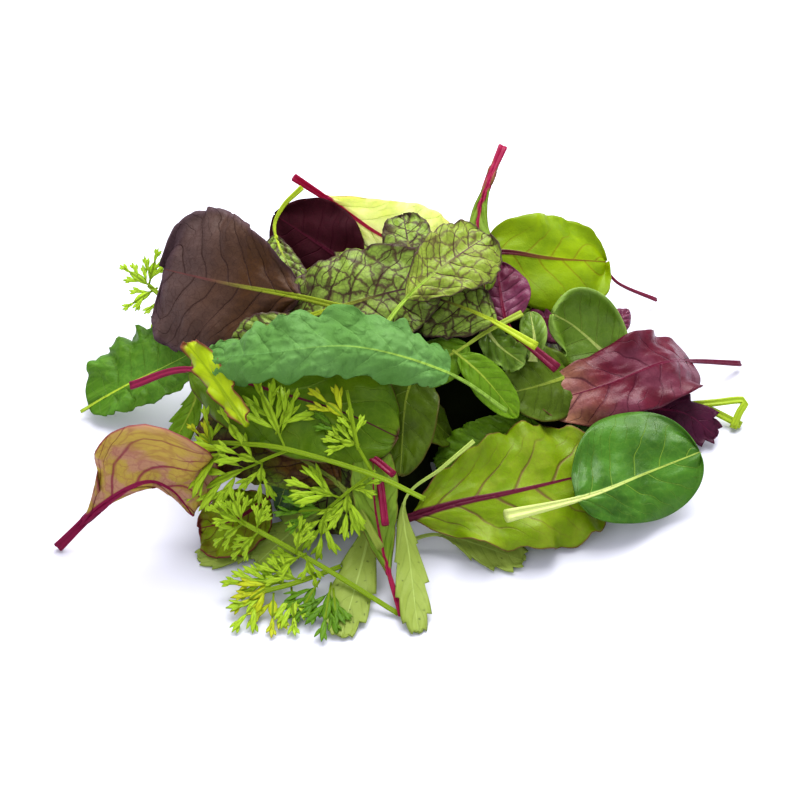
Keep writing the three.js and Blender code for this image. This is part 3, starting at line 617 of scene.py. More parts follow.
GROUPS = (
    Group("chard_leaves", "green_leaf", Kind.CHARD),
    Group("mustard_leaves", "mixed_leaves", Kind.MUSTARD),
    Group("tatsoi_leaves", "green_leaf", Kind.TATSOI),
    Group("kale_leaves", "green_leaf", Kind.KALE),
    Group("mizuna_leaves", "green_leaf", Kind.MIZUNA),
    Group("beet_leaves", "red_leaf", Kind.SPINACH),
    Group("beet_stems", "stalk", Kind.STEM),
)
SPRIG_GROUP = Group("feathery_sprigs", "sprig")
RING_GROUP = Group("ring_leaves", "mixed_leaves")


class Curve:
    """Smooth curve through a spine's points, measured by its length.

    STEPS is the number of steps between two points. NEAR is the share of the length, to both
    sides of a place, from which its direction is taken.
    """

    STEPS = 60
    NEAR = 0.012

    def __init__(self, points: tuple[Point, ...]) -> None:
        """Lays the curve.

        Args:
            points: Two or more points in millimetres.
        """
        p = np.asarray(points, float)
        p = np.vstack([2 * p[0] - p[1], p, 2 * p[-1] - p[-2]])
        pieces = []
        for a, b, c, d in zip(p, p[1:], p[2:], p[3:]):
            t = np.linspace(0, 1, self.STEPS, endpoint=False)[:, None]
            leave, arrive = (c - a) / 2, (d - b) / 2
            pieces.append((2 * t**3 - 3 * t**2 + 1) * b + (t**3 - 2 * t**2 + t) * leave
                          + (-2 * t**3 + 3 * t**2) * c + (t**3 - t**2) * arrive)
        self.places = np.vstack([*pieces, p[-2:-1]])
        steps = np.linalg.norm(np.diff(self.places, axis=0), axis=1)
        self.measure = np.concatenate([[0.0], np.cumsum(steps)])
        self.length = float(self.measure[-1])

    def at(self, share: np.ndarray) -> np.ndarray:
        """Finds points on the curve.

        Args:
            share: Shares of the length, from 0 to 1.

        Returns:
            One point a share.
        """
        along = np.clip(share, 0, 1) * self.length
        return np.stack([np.interp(along, self.measure, self.places[:, k]) for k in range(3)], -1)

    def frames(self, share: np.ndarray, faces: Point) -> tuple[np.ndarray, np.ndarray, np.ndarray]:
        """Finds direction, upper normal and right-hand side along the curve.

        Args:
            share: Shares of the length.
            faces: The way the upper face looks.

        Returns:
            Tangents, normals and sides, one of each a share.
        """
        tangent = self.at(np.minimum(share + self.NEAR, 1)) - self.at(np.maximum(share - self.NEAR, 0))
        tangent /= np.linalg.norm(tangent, axis=1)[:, None]
        up = np.asarray(faces, float)
        up /= np.linalg.norm(up)
        normal = up - (tangent @ up)[:, None] * tangent
        normal /= np.linalg.norm(normal, axis=1)[:, None]
        return tangent, normal, np.cross(tangent, normal)


@dataclass
class Sheets:
    """Closed sheets collected for one piece, with what their finishes read.

    Attributes:
        points: Places, in millimetres.
        faces: Triangles as point numbers.
        looks: Finish of each triangle, as its number in the piece's list.
        vein_map: Vein count, millimetres across and millimetres along, for each point.
        leaf_place: Share across, share along and a chance number of the leaf.
        leaf_part: 1 on the underside, half width of the rib, and distance to the edge.
        count: Number of points so far.
    """

    points: list[np.ndarray] = field(default_factory=list)
    faces: list[np.ndarray] = field(default_factory=list)
    looks: list[np.ndarray] = field(default_factory=list)
    vein_map: list[np.ndarray] = field(default_factory=list)
    leaf_place: list[np.ndarray] = field(default_factory=list)
    leaf_part: list[np.ndarray] = field(default_factory=list)
    count: int = 0

    def add(self, points: np.ndarray, faces: np.ndarray, look: int,
            maps: tuple[np.ndarray, ...]) -> None:
        """Adds one closed sheet.

        Args:
            points: Its places.
            faces: Its triangles, counted from its own first point.
            look: Number of its finish.
            maps: Its vein_map, leaf_place and leaf_part.
        """
        self.points.append(points)
        self.faces.append(faces + self.count)
        self.looks.append(np.full(len(faces), look, np.int32))
        for store, values in zip((self.vein_map, self.leaf_place, self.leaf_part), maps):
            store.append(values)
        self.count += len(points)

    def to_object(self, name: str, finishes: list[bpy.types.Material]) -> bpy.types.Object:
        """Makes the piece.

        Args:
            name: Name of the piece.
            finishes: Its materials in the order of their numbers.

        Returns:
            The new object, linked to the scene.
        """
        points = (np.vstack(self.points) - HEAP_CENTRE) * MM
        faces = np.vstack(self.faces).astype(np.int32)
        mesh = bpy.data.meshes.new(name)
        mesh.vertices.add(len(points))
        mesh.vertices.foreach_set("co", points.astype(np.float32).ravel())
        mesh.loops.add(faces.size)
        mesh.loops.foreach_set("vertex_index", faces.ravel())
        mesh.polygons.add(len(faces))
        mesh.polygons.foreach_set("loop_start", np.arange(0, faces.size, 3, dtype=np.int32))
        mesh.polygons.foreach_set("material_index", np.concatenate(self.looks))
        for label in MAPS:
            layer = mesh.attributes.new(label, "FLOAT_VECTOR", "POINT")
            layer.data.foreach_set("vector", np.vstack(getattr(self, label)).astype(np.float32).ravel())
        for finish in finishes:
            mesh.materials.append(finish)
        mesh.update(calc_edges=True)
        mesh.validate()
        mesh.shade_smooth()
        piece = bpy.data.objects.new(name, mesh)
        bpy.context.scene.collection.objects.link(piece)
        logger.info("%s: %d triangles", name, len(faces))
        return piece


def grid_faces(rows: int, columns: int) -> np.ndarray:
    """Triangles of a closed sheet whose upper and lower faces are grids split alike.

    Args:
        rows: Steps along.
        columns: Steps across.

    Returns:
        Triangles over the upper points, followed by the lower points.
    """
    index = np.arange((rows + 1) * (columns + 1)).reshape(rows + 1, columns + 1)
    a, b, c, d = index[:-1, :-1], index[:-1, 1:], index[1:, 1:], index[1:, :-1]
    upper = np.concatenate([np.stack(corners, -1).reshape(-1, 3) for corners in ((a, b, c), (a, c, d))])
    lower = upper[:, ::-1] + index.size
    rim = np.concatenate([index[0, :-1], index[:-1, -1], index[-1, :0:-1], index[:0:-1, 0]])
    to = np.roll(rim, -1)
    sides = np.concatenate([
        np.stack([rim, rim + index.size, to + index.size], -1),
        np.stack([rim, to + index.size, to], -1),
    ])
    return np.concatenate([upper, lower, sides])


@dataclass(frozen=True)
class Grid:
    """Grid of one leaf: rows along its spine and columns from its left edge to its right one.

    Attributes:
        share: Share of the spine's length, a row.
        even: Evenly stepped share of the blade, a row.
        along: Share of the blade's length, a row; 0 on the stalk.
        on_blade: True on the blade, a row.
        radius: Radius of the stalk or the rib in millimetres, a row.
        span: Share across from the rib to the edge, a column.
        side: -1 on the left and 1 on the right, a column.
        half: Half width of the leaf in millimetres, a column.
        rows: Steps along the blade.
    """

    share: np.ndarray
    even: np.ndarray
    along: np.ndarray
    on_blade: np.ndarray
    radius: np.ndarray
    span: np.ndarray
    side: np.ndarray
    half: np.ndarray
    rows: int


@dataclass
class LeafGrower:
    """Grows leaves as thin closed sheets.

    Each leaf draws its own chance numbers from the seed and its turn.

    Attributes:
        seed: Start of the draws.
        turn: How many leaves have grown.
        edge_thin: Share of the thickness that is lost at the edge.
        fine_edge: Narrowest share of the half width, at both ends of a blade.
        end_rows: How strongly the rows gather at both ends of a blade.
        rib_columns: Power by which the columns gather at the rib.
        stalk_step: Length of a step along a stalk, in millimetres.
        no_stalk: Share of bare stalk up to which a leaf has none.
        slim_stalk: Share of its kind's stalk that a narrow leaf has.
        full_width: Width from which a leaf has its kind's whole stalk, in millimetres.
        rib_end: Share of the stalk's radius that the rib keeps at the tip.
        stalk_edge: Distance to the edge that a stalk's points are given, in millimetres.
        end_edge: Share of the way to the tip that counts as the way to the edge.
        opening: Share of the blade in which it opens from the stalk.
        vein_bow: Power by which a side vein curves forward.
        fine_waves: Number of fine edge waves to a slow one.
        fine_ruffle: Height of the fine edge waves against the slow ones.
        sway: Height of the slow sway as a share of the half width.
        rib_above: Share of the rib's radius that stands above the blade.
        rib_below: Share of it that stands below.
        groove: Depth of the rib's groove as a share of its radius.
        groove_width: Half width of the groove as a share of the rib's radius.
    """

    seed: int
    turn: int = 0
    edge_thin: float = 0.45
    fine_edge: float = 0.02
    end_rows: float = 0.85
    rib_columns: float = 1.5
    stalk_step: float = 1.6
    no_stalk: float = 0.02
    slim_stalk: float = 0.75
    full_width: float = 27.0
    rib_end: float = 0.12
    stalk_edge: float = 9.0
    end_edge: float = 0.7
    opening: float = 0.08
    vein_bow: float = 1.15
    fine_waves: float = 2.4
    fine_ruffle: float = 0.4
    sway: float = 0.08
    rib_above: float = 0.42
    rib_below: float = 0.85
    groove: float = 0.3
    groove_width: float = 0.45

    def grow(self, leaf: Leaf) -> tuple[np.ndarray, np.ndarray, tuple[np.ndarray, ...]]:
        """Grows one leaf.

        Args:
            leaf: What to grow.

        Returns:
            Its points, its triangles and its three maps.
        """
        self.turn += 1
        chance = np.random.default_rng(self.seed + self.turn)
        form = FORMS[leaf.kind]
        curve = Curve(leaf.spine)
        grid = self._grid(leaf, form, curve.length)
        width = self._width(leaf, grid)
        notch, point = self._teeth(form, leaf.own("tooth"), grid, chance)
        outer = grid.span**form.tooth_root
        reach = grid.span * np.maximum(width, grid.radius) * (1 - notch * outer)
        opening = smooth(0.0, self.opening, grid.along) * grid.on_blade
        across, up = self._curl(leaf, grid, reach, opening)
        up = up + opening * self._ruffle(leaf, grid, chance)
        phase = form.veins * (grid.along - form.sweep * grid.span**self.vein_bow) \
            + np.where(grid.side < 0, 0.5, 0.0)
        up = up + self._pucker(leaf.own("pucker"), phase, grid, opening, chance)
        lean = form.lean * point * outer \
            - leaf.lobe * grid.span**2 * (1 - grid.along) ** 2 * grid.on_blade
        tangent, normal, to_right = curve.frames(grid.share, leaf.faces)
        spots = (curve.at(grid.share)[:, None] + to_right[:, None] * across[..., None]
                 + normal[:, None] * up[..., None] + tangent[:, None] * lean[..., None])
        spots[..., 2] = np.maximum(spots[..., 2], FLOOR_CLEARANCE + LEAF_MM)
        thick = LOBE_MM if leaf.kind is Kind.LOBE else LEAF_MM
        points = np.concatenate(self._skins(spots, across, thick, grid))
        points[:, 2] = np.maximum(points[:, 2], FLOOR_CLEARANCE)
        blade_length = (1 - min(leaf.own("neck"), 0.95)) * curve.length
        edge = np.minimum((1 - grid.span) * np.maximum(width, grid.radius),
                          (1 - grid.along) * blade_length * self.end_edge)
        edge = np.where(grid.on_blade, edge, self.stalk_edge)
        maps = self._maps(grid, phase, across, grid.share[:, None] * curve.length, edge, chance)
        return points, grid_faces(len(grid.share) - 1, grid.span.size - 1), maps

    def _grid(self, leaf: Leaf, form: Form, length: float) -> Grid:
        """Lays out the rows and columns, close together where the leaf bends most.

        Args:
            leaf: The leaf.
            form: Its kind's form.
            length: Length of its spine in millimetres.

        Returns:
            The grid.
        """
        left, right = leaf.halves
        is_stem = leaf.kind is Kind.STEM
        large = left + right >= LARGE_LEAF_WIDTH or leaf.kind in (Kind.STEM, Kind.LOBE)
        detail = leaf.detail * (1.0 if large else SMALL_LEAF_DETAIL)
        rows, columns = int(form.rows * detail), int(form.columns * detail)
        columns += columns % 2
        if form.teeth:
            rows = 4 * max(round(rows / 4), 1)
        neck = leaf.own("neck")
        stalk_rows = max(int(neck * length / self.stalk_step), 2) if neck > self.no_stalk else 0
        if is_stem:
            share = np.linspace(0, 1, stalk_rows + 1)
            even = along = np.zeros(stalk_rows + 1)
            on_blade = np.zeros(stalk_rows + 1, bool)
        else:
            even = np.linspace(0, 1, rows + 1)
            along = even - self.end_rows * np.sin(2 * np.pi * even) / (2 * np.pi)
            lead = neck * np.arange(stalk_rows) / max(stalk_rows, 1)
            share = np.concatenate([lead, neck + (1 - neck) * along])
            even, along = (np.concatenate([np.zeros(stalk_rows), part]) for part in (even, along))
            on_blade = np.arange(len(share)) >= stalk_rows
        usual = form.stalk * (1.0 if left + right >= self.full_width else self.slim_stalk)
        stalk = left if is_stem else usual if leaf.stalk is None else leaf.stalk
        taper = 1.0 if is_stem else self.rib_end + (1 - self.rib_end) * (1 - share) ** form.taper
        column = np.linspace(-1, 1, columns + 1)
        is_left = column < 0
        return Grid(share=share, even=even[:, None], along=along[:, None], on_blade=on_blade[:, None],
                    radius=(stalk * taper * np.ones_like(share))[:, None],
                    span=(np.abs(column) ** self.rib_columns)[None, :],
                    side=np.where(is_left, -1.0, 1.0)[None, :],
                    half=np.where(is_left, left, right)[None, :], rows=rows)

    def _width(self, leaf: Leaf, grid: Grid) -> np.ndarray:
        """Half width of the blade before its teeth.

        Args:
            leaf: The leaf.
            grid: Its grid.

        Returns:
            Millimetres for each row and side, 0 on the stalk.
        """
        base, tip = leaf.own("base"), leaf.own("tip")
        widest = base / (base + tip)
        outline = grid.along**base * (1 - grid.along) ** tip / (widest**base * (1 - widest) ** tip)
        return np.where(grid.on_blade, np.maximum(outline, self.fine_edge), 0.0) * grid.half

    def _teeth(self, form: Form, depth: float, grid: Grid,
               chance: np.random.Generator) -> tuple[np.ndarray, np.ndarray]:
        """Cuts the teeth of both edges.

        Args:
            form: The kind's form.
            depth: Depth of a tooth as a share of the half width.
            grid: The leaf's grid.
            chance: The leaf's draws.

        Returns:
            Depth of the notches, and how near each row is to a tooth's tip.
        """
        if not form.teeth:
            zero = np.zeros((len(grid.share), grid.side.shape[1]))
            return zero, zero
        per_tooth = max(round(grid.rows / form.teeth), 3)
        row = np.round(grid.even * grid.rows) + np.where(grid.side < 0, per_tooth // 2, 0)
        step = (row % per_tooth) / (per_tooth - 1)
        number = (row // per_tooth).astype(int) % MOST_TEETH
        uneven = chance.uniform(0.55, 1.35, (2, MOST_TEETH))
        deep = np.where(grid.side < 0, uneven[0][number], uneven[1][number])
        live = grid.on_blade * smooth(0.02, 0.16, grid.even) * (1 - 0.5 * smooth(0.9, 1.0, grid.even))
        point = np.sin(np.pi * (0.08 + 0.84 * step)) ** 0.6 if form.scalloped else step
        return depth * deep * (1 - point) * live, point * live

    def _curl(self, leaf: Leaf, grid: Grid, reach: np.ndarray,
              opening: np.ndarray) -> tuple[np.ndarray, np.ndarray]:
        """Bends both halves along an arc.

        Args:
            leaf: The leaf.
            grid: Its grid.
            reach: Millimetres from the rib, along the flat blade.
            opening: Share by which each row has opened from stalk to blade.

        Returns:
            Millimetres to the right of the rib and above it.
        """
        bend = np.radians(np.where(grid.side < 0, leaf.curl[0], leaf.curl[1])) / grid.half
        is_flat = np.abs(bend) < NEARLY_FLAT
        safe = np.where(is_flat, 1.0, bend)
        out = np.where(is_flat, reach, np.sin(bend * reach) / safe)
        up = np.where(is_flat, 0.0, (1 - np.cos(bend * reach)) / safe)
        return grid.side * (out * opening + reach * (1 - opening)), up * opening

    def _ruffle(self, leaf: Leaf, grid: Grid, chance: np.random.Generator) -> np.ndarray:
        """Waves the edges, with finer waves on the slow ones.

        Args:
            leaf: The leaf.
            grid: Its grid.
            chance: The leaf's draws.

        Returns:
            Millimetres above the rib.
        """
        turns = 2 * np.pi * leaf.own("waves") * grid.along
        slow = grid.span**2 * np.sin(turns + 1.7 * grid.side)
        fine = grid.span**3 * np.sin(self.fine_waves * turns + chance.uniform(0, 6.28) + 2.1 * grid.side)
        return leaf.own("ruffle") * grid.half * (slow + self.fine_ruffle * fine)

    def _pucker(self, height: float, phase: np.ndarray, grid: Grid, opening: np.ndarray,
                chance: np.random.Generator) -> np.ndarray:
        """Blisters between the veins, with a slow uneven sway of the whole blade.

        Args:
            height: Height of a blister in millimetres.
            phase: Count of the side veins.
            grid: The leaf's grid.
            opening: Share by which each row has opened from stalk to blade.
            chance: The leaf's draws.

        Returns:
            Millimetres above the rib.
        """
        between = np.abs(np.sin(np.pi * phase))
        inside = smooth(0.04, 0.3, grid.span) * (1 - smooth(0.72, 1.0, grid.span)) * opening
        cross = np.sin(2 * np.pi * (grid.span * grid.half / BLISTER_MM + 0.7 * np.sin(np.pi * phase)
                                    + chance.uniform()))
        sway = np.sin(2 * np.pi * (1.3 * grid.along + 0.8 * grid.span) + chance.uniform(0, 6.28))
        return height * (between**0.8 - 0.45 + 0.22 * cross * between) * inside \
            + self.sway * grid.half * sway * grid.span * opening

    def _skins(self, spots: np.ndarray, across: np.ndarray, thick: float,
               grid: Grid) -> tuple[np.ndarray, np.ndarray]:
        """Upper and lower faces: thin over the blade, swelling to the rib below and grooved above.

        Args:
            spots: Middle of the sheet, for each row and column.
            across: Millimetres to the right of the rib.
            thick: Thickness of the blade in millimetres.
            grid: The leaf's grid.

        Returns:
            Points of the upper and of the lower face.
        """
        normal = np.cross(np.gradient(spots, axis=1), np.gradient(spots, axis=0))
        normal /= np.maximum(np.linalg.norm(normal, axis=2), 1e-9)[..., None]
        swell = grid.radius * np.sqrt(1 - np.clip(np.abs(across) / grid.radius, 0, 1) ** 2)
        groove = self.groove * grid.radius * np.exp(-((across / (self.groove_width * grid.radius)) ** 2))
        thin = thick / 2 * (1 - self.edge_thin * grid.span**4)
        upper = spots + normal * (thin + self.rib_above * swell - groove)[..., None]
        lower = spots - normal * (thin + self.rib_below * swell)[..., None]
        return upper.reshape(-1, 3), lower.reshape(-1, 3)

    def _maps(self, grid: Grid, phase: np.ndarray, across: np.ndarray, length: np.ndarray,
              edge: np.ndarray, chance: np.random.Generator) -> tuple[np.ndarray, ...]:
        """Maps that the finishes read, for both faces.

        Args:
            grid: The leaf's grid.
            phase: Count of the side veins.
            across: Millimetres to the right of the rib.
            length: Millimetres along the spine.
            edge: Millimetres to the edge.
            chance: The leaf's draws.

        Returns:
            The vein_map, the leaf_place and the leaf_part.
        """
        ones = np.ones_like(across)
        vein_map = np.stack([phase * ones, across, length * ones], -1)
        along = np.where(grid.on_blade, grid.along, -1.0)
        leaf_place = np.stack([grid.span * ones, along * ones, ones * chance.uniform()], -1)
        leaf_part = [np.stack([ones * under, grid.radius * ones, edge], -1) for under in (0.0, 1.0)]
        return tuple(np.concatenate([part.reshape(-1, 3) for part in both])
                     for both in ((vein_map, vein_map), (leaf_place, leaf_place), leaf_part))


@dataclass
class SprigGrower:
    """Grows feathery sprigs from a stalk, side shoots and narrow pointed fingers.

    Attributes:
        seed: Start of the draws.
        up: The way the sprigs' upper faces look.
        stalk_mm: Radius of a sprig's stalk.
        blade_mm: Half width of the blade along a side shoot.
        twig_mm: Radius of a twig that carries leaflets.
        bare_twig_mm: Radius of a twig that carries none.
        slender: Half width of a finger as a share of its length.
        narrowest_mm: Half width of the shortest fingers.
        two_points_mm: Length from which a finger carries two side points.
        one_point_mm: Length from which it carries one.
        point_shares: Shares of a finger's length at which its side points leave it.
        point_turn: How far a side point turns off.
        chance: The draws.
    """

    seed: int
    up: Point = (0.0, -0.45, 0.9)
    stalk_mm: float = 0.8
    blade_mm: float = 1.5
    twig_mm: float = 0.34
    bare_twig_mm: float = 0.5
    slender: float = 0.1
    narrowest_mm: float = 0.6
    two_points_mm: float = 5.5
    one_point_mm: float = 4.0
    point_shares: tuple[float, float] = (0.4, 0.56)
    point_turn: float = 0.42
    chance: np.random.Generator = field(init=False)

    def __post_init__(self) -> None:
        """Starts the draws."""
        self.chance = np.random.default_rng(self.seed)

    def leaves(self, sprig: Sprig) -> list[Leaf]:
        """Lays out the twigs and fingers of a sprig.

        Args:
            sprig: The sprig.

        Returns:
            Its stalk, twigs, blades and fingers as leaves.
        """
        parts = [Leaf(sprig.name + "_stalk", Kind.STEM, Look.SPRIG, sprig.stalk,
                      halves=(self.stalk_mm, self.stalk_mm), faces=self.up)]
        for shoot in sprig.shoots:
            parts += self._shoot(shoot)
        return parts

    def _shoot(self, shoot: Shoot) -> list[Leaf]:
        """Lays out the twig and the blade of one side shoot, with its fingers.

        Args:
            shoot: The side shoot.

        Returns:
            Its parts as leaves.
        """
        foot, tip = np.array(shoot.foot, float), np.array(shoot.tip, float)
        aim = tip - foot
        length = float(np.linalg.norm(aim))
        aim /= length
        up = np.array(self.up) / np.linalg.norm(self.up)
        side = np.cross(aim, up)
        side /= np.linalg.norm(side)
        up = np.cross(side, aim)
        twig = self.twig_mm if shoot.lobes else self.bare_twig_mm
        bow = up * 0.04 * length
        path = tuple(map(tuple, (foot - aim * 1.2, (foot + tip) / 2 + bow, tip)))
        parts = [Leaf("twig", Kind.STEM, Look.SPRIG, path, halves=(twig, twig), faces=self.up)]
        if shoot.lobes:
            parts.append(Leaf("blade", Kind.LOBE, shoot.look, path,
                              halves=(self.blade_mm, self.blade_mm), faces=tuple(up), neck=0.25))
        last = shoot.lobes - 1
        for k in range(shoot.lobes):
            share = 0.8 if k == last else 0.2 + 0.5 * k / max(last, 1)
            turn = 0.0
            if k < last:
                turn = (0.85 if k % 2 == 0 else -0.85) * (1.15 - share) * self.chance.uniform(0.8, 1.15)
            root = foot + aim * length * share + bow * (1 - share)
            reach = shoot.lobe * (1.6 - 0.4 * share)
            parts += self._finger(root, aim + side * turn, up, reach, shoot.look)
        return parts

    def _finger(self, root: np.ndarray, aim: np.ndarray, up: np.ndarray, length: float,
                look: Look) -> list[Leaf]:
        """Lays out one pointed finger of a leaflet, with the shorter points that branch from it.

        Args:
            root: Where it starts.
            aim: The way it points.
            up: The way its upper face looks.
            length: Its length in millimetres.
            look: Its finish.

        Returns:
            The finger and its points as leaves.
        """
        aim = aim / np.linalg.norm(aim)
        side = np.cross(aim, up)
        up = up + self.chance.normal(0, 0.14, 3)
        bend = self.chance.uniform(-0.06, 0.14)
        count = 2 if length > self.two_points_mm else 1 if length > self.one_point_mm else 0
        points = [(0.0, 1.0, 0.0)]
        for k, share in enumerate(self.point_shares[:count]):
            points.append(((1 - 2 * k) * self.point_turn * self.chance.uniform(0.8, 1.2),
                           (1 - share) * self.chance.uniform(0.7, 0.95), share))
        parts = []
        for turn, part, share in points:
            start = root + aim * length * share
            way = aim + side * turn
            way /= np.linalg.norm(way)
            reach = length * part
            path = (start, start + way * reach * 0.5 + up * reach * bend, start + way * reach)
            wide = max(self.slender * reach, self.narrowest_mm)
            parts.append(Leaf("finger", Kind.LOBE, look, tuple(map(tuple, path)), halves=(wide, wide),
                              faces=tuple(up)))
        return parts


def add_node(tree: bpy.types.NodeTree, kind: str, links: dict | None = None,
             **settings) -> bpy.types.Node:
    """Adds one shader node, sets its properties and its inputs.

    Args:
        tree: The node tree.
        kind: Node type.
        links: Input name or number to a number, a colour, or a node's output.
        **settings: Properties of the node.

    Returns:
        The node.
    """
    node = tree.nodes.new(kind)
    for name, value in settings.items():
        setattr(node, name, value)
    for name, value in (links or {}).items():
        if isinstance(value, bpy.types.NodeSocket):
            tree.links.new(value, node.inputs[name])
        else:
            node.inputs[name].default_value = value
    return node


def add_steps(tree: bpy.types.NodeTree, out: Sockets, steps: tuple[tuple, ...]) -> None:
    """Adds the nodes of a list of sums, each of which may use the results before it.

    Args:
        tree: The node tree.
        out: Sockets by name; every sum adds its result.
        steps: Name of the result, operation, and numbers or names of sockets. RISE goes smoothly
            from 0 to 1 between two levels and FALL from 1 to 0; the others are the math node's own.
    """
    for name, operation, *values in steps:
        sockets = [out[value] if isinstance(value, str) else value for value in values]
        ends = {"RISE": (0.0, 1.0), "FALL": (1.0, 0.0)}.get(operation)
        if ends:
            node = add_node(tree, "ShaderNodeMapRange", dict(enumerate((*sockets, *ends))),
                            interpolation_type="SMOOTHSTEP")
        else:
            node = add_node(tree, "ShaderNodeMath", dict(enumerate(sockets)), operation=operation)
        out[name] = node.outputs[0]


def new_material(name: str) -> bpy.types.Material:
    """Makes a material with an empty node tree.

    Args:
        name: Name of the material.

    Returns:
        The material.
    """
    material = bpy.data.materials.new(name)
    material.use_nodes = True
    material.node_tree.nodes.clear()
    return material


@dataclass(frozen=True)
class LeafFinish:
    """Colours and surface of one kind of leaf.

    Attributes:
        name: Name of the material.
        upper: Upper face.
        shade: Second colour of both faces, in slow clouds.
        under: Underside.
        vein: Side veins and net.
        rib: Stalk and the foot of the midrib.
        rib_end: Midrib towards the tip.
        rim_and_highlight: Rim.
        tip: Colour towards the tip.
        blots_and_sheen: Blotches.
        vein_strength: How much the side veins show.
        vein_fade: Share of the side veins' strength that is lost at the edge.
        vein_width: Half width of a side vein as a share of the gap between two.
        net_strength: How much the net shows.
        net_mm: Width of a cell of the net.
        net_width: Half width of a line of the net as a share of its cell.
        margin_mm: Width of the rim.
        margin_strength: How much the rim shows.
        tip_strength: How much of the tip's colour shows.
        tip_from: Share of the length at which the tip's colour begins.
        mottle_strength: How much of the blotches shows.
        mottle_mm: Size of a blotch.
        dots: How much the small dark dots show.
        dot: Colour of the dots.
        pillow_mm: Height of the blisters between the lines of the net.
        groove_mm: Depth of the side veins.
        roughness: Roughness of the wax.
        gloss: Weight of the glossy top layer.
        glow: Share of light that passes through.
        rib_share: Width of the coloured rib against the rib itself.
        cloud_mm: Size of the slow clouds.
        leaves_apart: How far apart the patterns of two leaves are taken.
    """

    name: str
    upper: str
    shade: str
    under: str
    vein: str
    rib: str
    rib_end: str
    rim_and_highlight: str = "000000"
    tip: str = "000000"
    blots_and_sheen: str = "000000"
    vein_strength: float = 0.8
    vein_fade: float = 0.4
    vein_width: float = 0.07
    net_strength: float = 0.3
    net_mm: float = 2.6
    net_width: float = 0.13
    margin_mm: float = 0.8
    margin_strength: float = 0.0
    tip_strength: float = 0.0
    tip_from: float = 0.3
    mottle_strength: float = 0.0
    mottle_mm: float = 9.0
    dots: float = 0.0
    dot: str = "3c4a1c"
    pillow_mm: float = 0.08
    groove_mm: float = 0.22
    roughness: float = 0.42
    gloss: float = 0.1
    glow: float = 0.2
    rib_share: float = 1.1
    cloud_mm: float = 14.0
    leaves_apart: float = 37.0

    def build(self) -> bpy.types.Material:
        """Makes the material.

        Returns:
            The material, named for the leaf.
        """
        material = new_material(self.name)
        tree = material.node_tree
        out = self._read(tree)
        self._patterns(tree, out)
        add_steps(tree, out, self._masks() + self._surface())
        colour = self._colour(tree, out)
        bump = add_node(tree, "ShaderNodeBump", {
            "Strength": 1.0, "Distance": MM, "Height": out["height"]}).outputs[0]
        skin = add_node(tree, "ShaderNodeBsdfPrincipled", {
            "Base Color": colour, "Roughness": out["wax"], "IOR": 1.42, "Coat Weight": self.gloss,
            "Coat Roughness": 0.22, "Specular IOR Level": 0.2, "Normal": bump})
        lit = add_node(tree, "ShaderNodeHueSaturation", {
            "Color": colour, "Saturation": 1.1, "Value": 1.3})
        through = add_node(tree, "ShaderNodeBsdfTranslucent", {"Color": lit.outputs[0], "Normal": bump})
        both = add_node(tree, "ShaderNodeMixShader", {
            0: self.glow, 1: skin.outputs[0], 2: through.outputs[0]})
        add_node(tree, "ShaderNodeOutputMaterial", {"Surface": both.outputs[0]})
        return material

    def _read(self, tree: bpy.types.NodeTree) -> Sockets:
        """Reads the leaf's maps and lays its face out flat, in millimetres.

        Args:
            tree: The material's node tree.

        Returns:
            The maps' values by name, the flat place of a point, and a warped one.
        """
        out = {}
        for label, parts in MAPS.items():
            source = add_node(tree, "ShaderNodeAttribute", attribute_name=label)
            split = add_node(tree, "ShaderNodeSeparateXYZ", {0: source.outputs["Vector"]})
            out.update(zip(parts, split.outputs))
        flat = add_node(tree, "ShaderNodeCombineXYZ", {
            0: out["across"], 1: out["along"], 2: out["chance"]})
        out["place"] = add_node(tree, "ShaderNodeVectorMath", {
            0: flat.outputs[0], 1: (1, 1, self.leaves_apart)}, operation="MULTIPLY").outputs[0]
        warp = add_node(tree, "ShaderNodeTexNoise", {
            "Vector": out["place"], "Scale": 0.3, "Detail": 2.0})
        out["warped"] = add_node(tree, "ShaderNodeVectorMath", {
            0: warp.outputs["Color"], 1: (2.6, 2.6, 0), 2: out["place"]},
            operation="MULTIPLY_ADD").outputs[0]
        return out

    def _patterns(self, tree: bpy.types.NodeTree, out: Sockets) -> None:
        """Adds the noises and the cells that the masks are cut from.

        Args:
            tree: The material's node tree.
            out: Sockets by name; every pattern adds its own.
        """
        noises = (("cloud", "place", 1 / self.cloud_mm, 3.0), ("blot", "place", 1 / self.mottle_mm, 3.0),
                  ("wander", "place", 0.11, 1.0), ("grain", "warped", 2.2, 3.0))
        for name, place, scale, detail in noises:
            node = add_node(tree, "ShaderNodeTexNoise", {
                "Vector": out[place], "Scale": scale, "Detail": detail})
            out[name] = node.outputs[0]
        crook = add_node(tree, "ShaderNodeTexNoise", {"Vector": out["warped"], "Scale": 0.7})
        out["crooked"] = add_node(tree, "ShaderNodeVectorMath", {
            0: crook.outputs["Color"], 1: (1.8, 1.8, 0), 2: out["warped"]},
            operation="MULTIPLY_ADD").outputs[0]
        cells = (("net_line", "crooked", 1 / self.net_mm, "DISTANCE_TO_EDGE", {}),
                 ("fine_line", "warped", 3.0 / self.net_mm, "DISTANCE_TO_EDGE", {}),
                 ("blister", "warped", 1 / self.net_mm, "SMOOTH_F1", {"Smoothness": 0.6}),
                 ("speck", "warped", 0.36, "F1", {}))
        for name, place, scale, feature, extra in cells:
            node = add_node(tree, "ShaderNodeTexVoronoi", {"Vector": out[place], "Scale": scale, **extra},
                            feature=feature)
            out[name] = node.outputs["Distance"]

